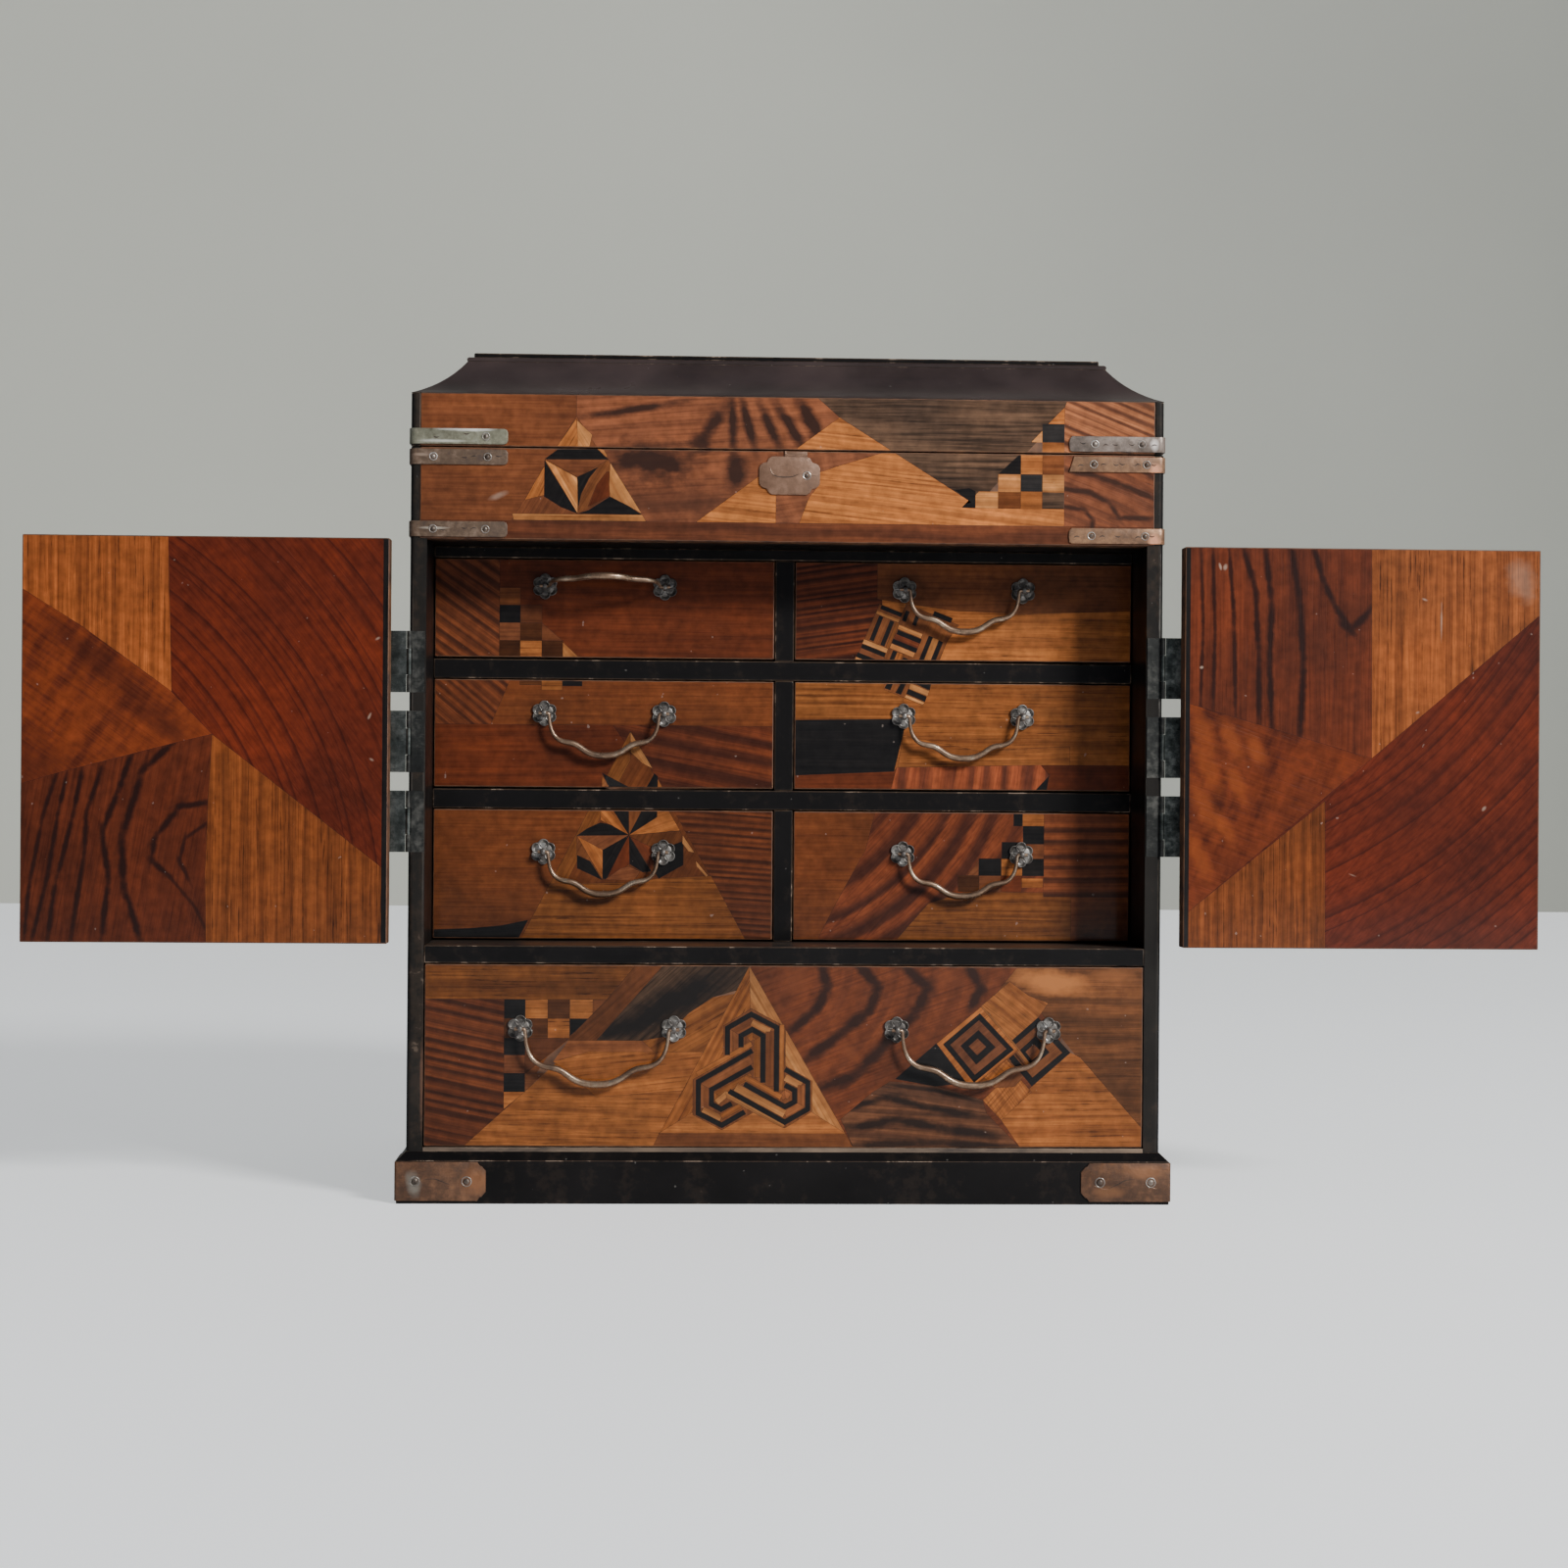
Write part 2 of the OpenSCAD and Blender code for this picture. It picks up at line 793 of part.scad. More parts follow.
// Middle line of a bail for s from -1 to 1: a belly, two shoulders and two upright legs
function belly_z(s, drop) =
    -drop * (shoulder_part + (1 - shoulder_part) * (1 + cos(180 * abs(s) / knee_part)) / 2);
function leg_turn(s) = 90 * (abs(s) - knee_part) / (1 - knee_part);
function bail_point(s, half, drop) = abs(s) <= knee_part
    ? [half * s, belly_z(s, drop)]
    : [sign(s) * half * (knee_part + (1 - knee_part) * sin(leg_turn(s))),
        -drop * shoulder_part * cos(leg_turn(s))];
function wire_radius(s) = wire_mid_r + (wire_r - wire_mid_r) * pow(abs(s), 2);
function bail_slope(s, half, drop) =
    bail_point(min(s + 0.02, 1), half, drop) - bail_point(max(s - 0.02, -1), half, drop);
function ring_point(s, half, drop, turn) =
    let (
        p = bail_point(s, half, drop),
        d = bail_slope(s, half, drop),
        across = [-d[1], d[0]] / norm(d),
        r = wire_radius(s)
    )
    [
        p[0] + r * cos(turn) * across[0],
        r * sin(turn),
        p[1] + r * cos(turn) * across[1]
    ];

// Wire swept along the bail's middle line
module bail_wire(half, drop) {
    points = [
        for (i = [0:bail_steps], k = [0:wire_sides - 1])
            ring_point(2 * i / bail_steps - 1, half, drop, 360 * k / wire_sides)
    ];
    sides = [
        for (i = [0:bail_steps - 1], k = [0:wire_sides - 1])
            let (next = (k + 1) % wire_sides, row = i * wire_sides)
            [row + k, row + next, row + wire_sides + next, row + wire_sides + k]
    ];
    first_end = [for (k = [wire_sides - 1:-1:0]) k];
    last_end = [for (k = [0:wire_sides - 1]) bail_steps * wire_sides + k];
    polyhedron(points, concat([first_end, last_end], sides), convexity = 6);
}

// Bail that hangs from the axis through its eyes, at the origin
module bail(span, drop) {
    half = span / 2 - eye_w / 2 - leg_gap - wire_r;
    pin_l = wire_r + leg_gap + eye_w + wire_end;
    bail_wire(half, drop);
    for (end = [-1, 1])
        translate([end * half, 0, 0]) {
            sphere(r = wire_r * 1.02);
            rotate([0, end * 90, 0])
                cylinder(r = wire_r, h = pin_l);
        }
}

module side_handle_mounts() {
    for (side = [-1, 1])
        at_side(side)
            translate([half_w, side_pull_y, side_pull_z])
                rotate([0, 0, 90])
                    handle_mounts(small_span);
}

module side_bail() {
    translate([half_w + eye_off, side_pull_y, side_pull_z])
        rotate([0, 0, 90])
            bail(small_span, small_drop);
}

module left_side_bail() {
    color(copper)
        at_side(-1)
            side_bail();
}

module right_side_bail() {
    color(copper)
        side_bail();
}

// Small drawers

function pull_z(row) = row_z[row] + row_h[row] - pull_drop[row];

module small_front(col, row) {
    low = [drawer_x - open_w / 2 + front_gap, face_y, row_z[row] + sill_gap];
    high = [drawer_x + open_w / 2 - front_gap, face_y + front_t, row_z[row] + row_h[row] - front_gap];
    at_side(col)
        difference() {
            block(low, high);
            translate([drawer_x, face_y, pull_z(row)])
                shank_holes(small_span);
        }
}

// An open tray of four boards behind a drawer front
module tray(x_mid, width, y0, y1, z0, height) {
    x0 = x_mid - width / 2;
    x1 = x_mid + width / 2;
    for (x = [x0, x1 - drawer_wall])
        block([x, y0, z0], [x + drawer_wall, y1, z0 + height]);
    block([x0 + drawer_wall, y1 - drawer_wall, z0], [x1 - drawer_wall, y1, z0 + height]);
    block([x0 + drawer_wall, y0, z0], [x1 - drawer_wall, y1 - drawer_wall, z0 + drawer_floor]);
}

module small_box(col, row) {
    color(bare_wood)
        at_side(col)
            tray(drawer_x, open_w - 2 * side_gap, face_y + front_t, rear_y - rear_gap,
                row_z[row] + runner_gap, row_h[row] - runner_gap - top_gap);
}

module small_mounts(col, row) {
    translate([col * drawer_x, face_y, pull_z(row)])
        handle_mounts(small_span);
}

module small_bail(col, row, raised = 0) {
    color(copper)
        translate([col * drawer_x, face_y - eye_off, pull_z(row)])
            rotate([-raised, 0, 0])
                bail(small_span, small_drop);
}

// Bottom drawer

wide_pull_z = mid_z - wide_pull_drop;

module wide_front() {
    color(camphor)
        difference() {
            block([front_gap - half_in, front_y, floor_z + runner_gap],
                [half_in - front_gap, front_y + front_t, mid_z - front_gap]);
            for (side = [-1, 1])
                translate([side * wide_pull_x, front_y, wide_pull_z])
                    shank_holes(large_span);
        }
}

module wide_box() {
    color(bare_wood)
        tray(0, inner_w - 2 * side_gap, front_y + front_t, rear_y - rear_gap,
            floor_z + runner_gap, low_open_h - runner_gap - top_gap);
}

module wide_mounts() {
    for (side = [-1, 1])
        translate([side * wide_pull_x, front_y, wide_pull_z])
            handle_mounts(large_span);
}

module wide_bail(side) {
    color(copper)
        translate([side * wide_pull_x, front_y - eye_off, wide_pull_z])
            bail(large_span, large_drop);
}

// Metal trim

module strap(z) {
    translate([0, 0, z])
        linear_extrude(strap_h)
            corner_plan(half_w, front_y, edge_r, strap_l, strap_side_l);
}

till_strap_z = [till_z + strap_edge, rim_z - strap_edge - strap_h];
lid_strap_z = lid_z + strap_edge;

module till_corner_straps() {
    color(copper)
        for (side = [-1, 1], z = till_strap_z)
            at_side(side)
                strap(z);
}

// Two nails on the front of a strap and one on its side
module strap_nails(z) {
    for (part = [0.3, 0.75])
        translate([half_w + trim_t - strap_l * part, front_y - trim_t, z + strap_h / 2])
            nail();
    translate([half_w + trim_t, front_y + strap_side_l * 0.7, z + strap_h / 2])
        rotate([0, 0, 90])
            nail();
}

module lid_corner_straps() {
    color(copper)
        for (side = [-1, 1])
            at_side(side) {
                strap(lid_strap_z);
                strap_nails(lid_strap_z);
            }
}

// Corner plate of the plinth, its inner ends cut to a tongue between two cusps
module corner_plate() {
    x_out = half_w + plinth_out;
    y_out = front_y - plinth_out;
    difference() {
        translate([0, 0, plate_foot])
            linear_extrude(plate_h)
                corner_plan(x_out, y_out, 0, plate_l, plate_side_l);
        for (z = [plate_foot, plate_foot + plate_h]) {
            translate([x_out + trim_t - plate_l, y_out + cut, z])
                rotate([90, 0, 0])
                    cylinder(r = plate_cusp, h = trim_t + 2 * cut);
            translate([x_out - cut, y_out - trim_t + plate_side_l, z])
                rotate([0, 90, 0])
                    cylinder(r = plate_cusp, h = trim_t + 2 * cut);
        }
    }
}

module plinth_corner_plates() {
    color(copper)
        for (side = [-1, 1])
            at_side(side)
                corner_plate();
}

module plate_nails() {
    x_out = half_w + plinth_out + trim_t;
    y_out = front_y - plinth_out - trim_t;
    z = plate_foot + plate_h / 2;
    for (part = [0.22, 0.77])
        translate([x_out - plate_l * part, y_out, z])
            nail();
    translate([x_out, y_out + plate_side_l * 0.6, z])
        rotate([0, 0, 90])
            nail();
}

module lock_plate() {
    top_z = rim_z - tab_h;
    color(copper) {
        difference() {
            block([-lock_w / 2, front_y - trim_t, top_z - lock_h],
                [lock_w / 2, front_y, top_z]);
            for (x = [-lock_w / 2, lock_w / 2], z = [top_z - lock_h, top_z])
                translate([x, front_y + cut, z])
                    rotate([90, 0, 0])
                        cylinder(r = lock_cusp, h = trim_t + 2 * cut);
        }
        block([tab_shift - tab_w / 2, front_y - trim_t, top_z],
            [tab_shift + tab_w / 2, front_y, rim_z]);
    }
}

module fixing_nails() {
    color(copper) {
        for (side = [-1, 1])
            at_side(side) {
                plate_nails();
                for (z = till_strap_z)
                    strap_nails(z);
            }
        translate([lock_w * 0.3, front_y - trim_t, rim_z - tab_h - lock_h / 2])
            nail();
        for (side = [-1, 1], end = [-1, 1])
            translate([side * lid_hinge_x + end * lid_hinge_w / 3, back_y + leaf_t,
                rim_z - lid_leaf_h * 0.7])
                rotate([0, 0, 180])
                    nail();
    }
}

plinth_rails();
bottom_board();
left_side();
right_side();
back_panel();
middle_shelf();
lower_shelf();
upper_shelf();
partition();
head_rail();
till_floor();
till_front();
plinth_corner_plates();
till_corner_straps();
lock_plate();
fixed_hinge_leaves();
hinge_pins();
fixing_nails();
side_handle_mounts();
left_side_bail();
right_side_bail();
lid_front();
lid_walls();
lid_cove();
lid_top();
lid_corner_straps();
lid_hinge_leaves();
left_door();
left_door_leaves();
right_door();
right_door_leaves();
color(mahogany) small_front(-1, 0);  // top_left_front
small_box(-1, 0);  // top_left_box
small_mounts(-1, 0);  // top_left_mounts
small_bail(-1, 0, raised_bail);  // top_left_bail
color(camphor) small_front(1, 0);  // top_right_front
small_box(1, 0);  // top_right_box
small_mounts(1, 0);  // top_right_mounts
small_bail(1, 0);  // top_right_bail
color(mahogany) small_front(-1, 1);  // middle_left_front
small_box(-1, 1);  // middle_left_box
small_mounts(-1, 1);  // middle_left_mounts
small_bail(-1, 1);  // middle_left_bail
color(camphor) small_front(1, 1);  // middle_right_front
small_box(1, 1);  // middle_right_box
small_mounts(1, 1);  // middle_right_mounts
small_bail(1, 1);  // middle_right_bail
color(mahogany) small_front(-1, 2);  // lower_left_front
small_box(-1, 2);  // lower_left_box
small_mounts(-1, 2);  // lower_left_mounts
small_bail(-1, 2);  // lower_left_bail
color(zelkova) small_front(1, 2);  // lower_right_front
small_box(1, 2);  // lower_right_box
small_mounts(1, 2);  // lower_right_mounts
small_bail(1, 2);  // lower_right_bail
wide_front();
wide_box();
wide_mounts();
wide_bail(-1);  // wide_left_bail
wide_bail(1);  // wide_right_bail
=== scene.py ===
import bpy
import bmesh
import json
import math
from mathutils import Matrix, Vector


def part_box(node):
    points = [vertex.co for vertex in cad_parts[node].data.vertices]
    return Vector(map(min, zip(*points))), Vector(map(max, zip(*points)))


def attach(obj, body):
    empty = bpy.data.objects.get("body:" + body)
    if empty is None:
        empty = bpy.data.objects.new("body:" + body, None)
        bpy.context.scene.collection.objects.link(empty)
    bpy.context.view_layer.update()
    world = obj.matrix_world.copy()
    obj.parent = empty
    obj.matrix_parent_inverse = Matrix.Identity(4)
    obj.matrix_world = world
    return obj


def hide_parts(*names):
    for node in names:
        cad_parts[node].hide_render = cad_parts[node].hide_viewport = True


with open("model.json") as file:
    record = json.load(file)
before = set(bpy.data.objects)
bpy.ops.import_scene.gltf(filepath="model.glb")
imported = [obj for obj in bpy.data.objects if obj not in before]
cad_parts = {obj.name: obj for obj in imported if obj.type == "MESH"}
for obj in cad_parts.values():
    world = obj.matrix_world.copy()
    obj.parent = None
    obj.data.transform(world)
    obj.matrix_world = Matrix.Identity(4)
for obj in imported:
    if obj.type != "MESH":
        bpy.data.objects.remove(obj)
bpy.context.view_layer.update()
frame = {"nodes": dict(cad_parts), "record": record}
NODES = frame["nodes"]
BODY_OF = {n: b for b, ns in frame["record"]["behaviour"]["bodies"].items() for n in ns}
MM = 0.001
QUARTER = math.pi / 2


# Bench helpers

def drop_all():
    bpy.ops.object.select_all(action="DESELECT")


def take(piece):
    """Makes a piece the only one selected and the active one."""
    drop_all()
    piece.select_set(True)
    bpy.context.view_layer.objects.active = piece
    return piece


def pick(action="SELECT", kind=None):
    if kind:
        bpy.ops.mesh.select_mode(type=kind)
    bpy.ops.mesh.select_all(action=action)


def open_mesh(piece, kind="FACE"):
    """Opens a mesh with all of it picked."""
    take(piece)
    bpy.ops.object.mode_set(mode="EDIT")
    pick("SELECT", kind)
    return bmesh.from_edit_mesh(piece.data)


def close_mesh():
    bpy.ops.object.mode_set(mode="OBJECT")


def settle(piece, name):
    """Leaves the finished piece at the origin, with its place in its mesh."""
    take(piece)
    bpy.ops.object.transform_apply(location=True, rotation=True, scale=True)
    piece.name = piece.data.name = name
    return piece


def give(piece, *finishes):
    piece.data.materials.clear()
    for finish in finishes:
        piece.data.materials.append(finish)


def smooth(piece, angle=35):
    take(piece)
    bpy.ops.object.shade_smooth_by_angle(angle=math.radians(angle))


def tool(piece, kind, **settings):
    """Adds a modifier, sets it and applies it."""
    take(piece)
    m = piece.modifiers.new(kind.lower(), kind)
    for key, value in settings.items():
        setattr(m, key, value)
    bpy.ops.object.modifier_apply(modifier=m.name)


def bounds_of(piece):
    xs, ys, zs = zip(*[v.co for v in piece.data.vertices])
    return Vector((min(xs), min(ys), min(zs))), Vector((max(xs), max(ys), max(zs)))


def fit(piece, name):
    """Puts a finished piece in the place of a CAD node, on its body."""
    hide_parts(name)
    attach(piece, BODY_OF[name])


# Node helpers for the finishes

class Finish:
    """One finish and the nodes that make it."""

    def __init__(self, name):
        self.mat = bpy.data.materials.new(name)
        self.mat.use_nodes = True
        self.tree = self.mat.node_tree
        self.shader = self.tree.nodes["Principled BSDF"]
        self.at = self.node("ShaderNodeTexCoord").outputs["Object"]
        self.ragged = None

    def node(self, kind, ins=(), **props):
        n = self.tree.nodes.new(kind)
        for key, value in props.items():
            setattr(n, key, value)
        for key, value in dict(ins).items():
            self.feed(n, key, value)
        return n

    def feed(self, n, key, value):
        if isinstance(value, bpy.types.NodeSocket):
            self.tree.links.new(value, n.inputs[key])
        else:
            n.inputs[key].default_value = value

    def math(self, op, a, b=0.0, c=0.0, clamp=False):
        n = self.node("ShaderNodeMath", {0: a, 1: b, 2: c}, operation=op)
        n.use_clamp = clamp
        return n.outputs[0]

    def times(self, a, b):
        return self.math("MULTIPLY", a, b)

    def plus(self, a, b):
        return self.math("ADD", a, b)

    def swing(self, value, reach):
        """Centres a noise value on zero and gives it a reach."""
        return self.times(self.math("SUBTRACT", value, 0.5), reach)

    def length(self, vector):
        return self.node("ShaderNodeVectorMath", {0: vector}, operation="LENGTH").outputs["Value"]

    def noise(self, vector, scale, detail=3.0, rough=0.55):
        """Noise with one scale, or one for each axis."""
        scale = scale if isinstance(scale, tuple) else (scale,) * 3
        spread = self.node("ShaderNodeMapping", {"Vector": vector, "Scale": scale}).outputs[0]
        return self.node("ShaderNodeTexNoise", {"Vector": spread, "Scale": 1.0, "Detail": detail,
                                                "Roughness": rough}).outputs[0]

    def ramp(self, value, *stops):
        n = self.node("ShaderNodeValToRGB", {0: value})
        e = n.color_ramp.elements
        while len(e) < len(stops):
            e.new(0.5)
        for k, (place, tone) in enumerate(stops):
            e[k].position = place
            e[k].color = (tone, tone, tone, 1) if isinstance(tone, (int, float)) else (*tone, 1)
        return n.outputs[0]

    def blend(self, share, a, b, how="MIX"):
        n = self.node("ShaderNodeMix", data_type="RGBA", blend_type=how)
        for key, value in ((0, share), (6, a), (7, b)):
            self.feed(n, key, (*value, 1) if isinstance(value, tuple) else value)
        return n.outputs[2]

    def over(self, under, colour, share, strength):
        """Lays a colour over what is there."""
        return self.blend(self.times(share, strength), under, colour)

    def shade(self, under, tone):
        return self.blend(1.0, under, tone, "MULTIPLY")

    def attribute(self, name, output):
        return self.node("ShaderNodeAttribute", attribute_name=name).outputs[output]

    def uv(self, name):
        return self.node("ShaderNodeUVMap", uv_map=name).outputs[0]

    def surface(self, **sockets):
        for key, value in sockets.items():
            key = key.replace("_", " ")
            self.feed(self.shader, key, (*value, 1) if isinstance(value, tuple) else value)

    def relief(self, height, depth, strength):
        n = self.node("ShaderNodeBump", {"Height": height, "Distance": depth, "Strength": strength})
        self.feed(self.shader, "Normal", n.outputs[0])

    def specks(self):
        """Small pale scuffs in the varnish."""
        return self.math("GREATER_THAN", self.noise(self.at, 430, 1), 0.80)

    def patch(self, x, z, wide, high, turn):
        """A soft, ragged-edged place on a front: its middle, its half width and height in mm, and its turn."""
        n = self.node("ShaderNodeMapping", {"Vector": self.at, "Location": (x * MM, 0, z * MM),
                                            "Scale": (wide * MM, 1, high * MM),
                                            "Rotation": (0, -math.radians(turn), 0)}, vector_type="TEXTURE")
        flat = self.node("ShaderNodeMapping", {"Vector": n.outputs[0], "Scale": (1, 0, 1)}).outputs[0]
        if not self.ragged:
            self.ragged = self.swing(self.noise(self.at, (170, 170, 260)), 0.9)
        return self.ramp(self.plus(self.length(flat), self.ragged), (0.35, 1.0), (1.0, 0.0))

    def spots(self, tint, colour, places):
        """Lays a colour over in places, each a patch, a strength and, if need be, a colour of its own."""
        for place in places:
            own = place[6] if len(place) > 6 else colour
            tint = self.over(tint, own, self.patch(*place[:5]), place[5])
        return tint

    # Lays listed patches of colour over what is there: worn places, and painted highlights on some straps and board
    # edges.
    def rubs_and_highlights(self, tint, places):
        for *place, colour in places:
            tint = self.blend(self.patch(*place), tint, colour)
        return tint


# Woods

# Noise scales along and across the grain
FIBRE, SWIRL, THREAD, FIELD = (26, 850, 1), (13, 34, 1), (20, 420, 1), (9, 75, 1)
RIPPLE, VESSEL, BREAKS = (120, 22, 1), (30, 1250, 1), (170, 900, 1)
SCUFF_TINT, SPECK_TINT = (0.42, 0.30, 0.22), (0.5, 0.4, 0.33)


def dimmed(colour, by):
    return tuple(c * by for c in colour)


def streak(width, strength, *line):
    """Spots in a row along a broken line of x, z, x, z ..., for a dark band that bends."""
    points = list(zip(line[::2], line[1::2]))
    spots = []
    for (x0, z0), (x1, z1) in zip(points, points[1:]):
        dx, dz = x1 - x0, z1 - z0
        spots.append(((x0 + x1) / 2, (z0 + z1) / 2, 0.85 * math.hypot(dx, dz) + width * 0.5, width,
                      math.degrees(math.atan2(dz, dx)), strength))
    return spots


def wander(f, value, scale):
    """Steady noise along one line."""
    n = f.node("ShaderNodeTexNoise", {"Scale": 1.0, "Detail": 2.0}, noise_dimensions="1D")
    f.feed(n, "W", f.times(value, scale))
    return n.outputs[0]


def veneer_wood(name, base, dark, light, bands, waver=0.12, lines=0.3, curl=0.0, uneven=2.4,
                streaky=0.0, streaks=(), stains=(), glows=(), scuffs=(), hard=0.0):
    """A sawn veneer: growth bands, fibres along the grain, dark vessel lines, and a thin aged varnish."""
    f = Finish(name)
    grain, figure = f.uv("grain"), f.uv("figure")
    fibre, swirl = f.noise(grain, FIBRE, 4, 0.6), f.noise(grain, SWIRL, 1)
    broad, mottle = f.noise(f.at, 24, 4), f.noise(f.at, 260)
    rings = f.plus(f.length(figure), f.swing(swirl, waver * 5))
    rings = f.plus(rings, f.swing(fibre, 0.12))
    rings = f.plus(rings, f.swing(wander(f, rings, 0.42), uneven))
    if hard:
        stops = (0.0, 0.0), (0.34 + hard, 0.04), (0.56 + hard / 2, 0.5), (0.70, 1.0), (0.77, 0.92), (0.84, 0.0)
    else:
        stops = (0.10, 0.0), (0.36, 0.85), (0.50, 1.0), (0.66, 0.9), (0.84, 0.0)
    band = f.times(f.ramp(f.math("FRACT", rings), *stops), f.ramp(wander(f, rings, 0.9), (0.34, 0.45), (0.52, 1.0)))
    band = f.times(band, f.ramp(broad, (0.3, 0.68), (0.55, 1.0)))
    fine = f.ramp(f.math("FRACT", f.times(rings, 4.3)), (0.0, 0.0), (0.55, 0.25), (0.75, 1.0), (0.9, 0.0))
    tint = f.blend(f.ramp(fibre, (0.32, 0.0), (0.68, 0.9)), base, light)
    tint = f.blend(f.ramp(fibre, (0.30, 0.55), (0.50, 0.0)), tint, tuple((a + b) / 2 for a, b in zip(base, dark)))
    tint = f.over(tint, dark, fine, bands * 0.3)
    tint = f.over(tint, dark, band, bands)
    if streaky:
        field = f.ramp(f.noise(grain, FIELD, 2), (0.47, 0.0), (0.62, 1.0))
        tint = f.over(tint, light, f.times(field, f.ramp(f.noise(grain, THREAD), (0.38, 0.0), (0.62, 1.0))), streaky)
    if curl:
        ripple = f.noise(grain, RIPPLE)
        tint = f.over(tint, light, f.ramp(ripple, (0.36, 0.0), (0.62, 1.0)), curl)
        tint = f.over(tint, dark, f.ramp(ripple, (0.3, 1.0), (0.48, 0.0)), curl * 0.6)
    vessel = f.ramp(f.noise(grain, VESSEL, 2), (0.54, 0.0), (0.66, 1.0))
    vessel = f.times(vessel, f.ramp(f.noise(grain, BREAKS, 2), (0.4, 0.15), (0.58, 1.0)))
    vessel = f.times(vessel, f.ramp(broad, (0.35, 1.0), (0.65, 0.45)))
    tint = f.over(tint, dimmed(dark, 0.6), vessel, lines)
    tint = f.shade(tint, f.ramp(broad, (0.28, (0.60, 0.62, 0.66)), (0.72, (1.28, 1.24, 1.20))))
    tint = f.shade(tint, f.ramp(mottle, (0.3, 0.76), (0.7, 1.18)))
    tint = f.shade(tint, f.attribute("tone", "Color"))
    tint = f.spots(tint, dimmed(light, 1.3), glows)
    tint = f.spots(tint, dimmed(dark, 0.8), [*stains, *(spot for line in streaks for spot in streak(*line))])
    tint = f.spots(tint, SCUFF_TINT, scuffs)
    tint = f.over(tint, SPECK_TINT, f.specks(), 0.25)
    f.surface(Base_Color=tint, Roughness=f.ramp(broad, (0.3, 0.5), (0.7, 0.34)),
              Coat_Weight=0.26, Coat_Roughness=0.09, Specular_IOR_Level=0.10)
    f.relief(f.math("SUBTRACT", fibre, f.times(vessel, 0.8)), 0.00012, 0.5)
    return f.mat


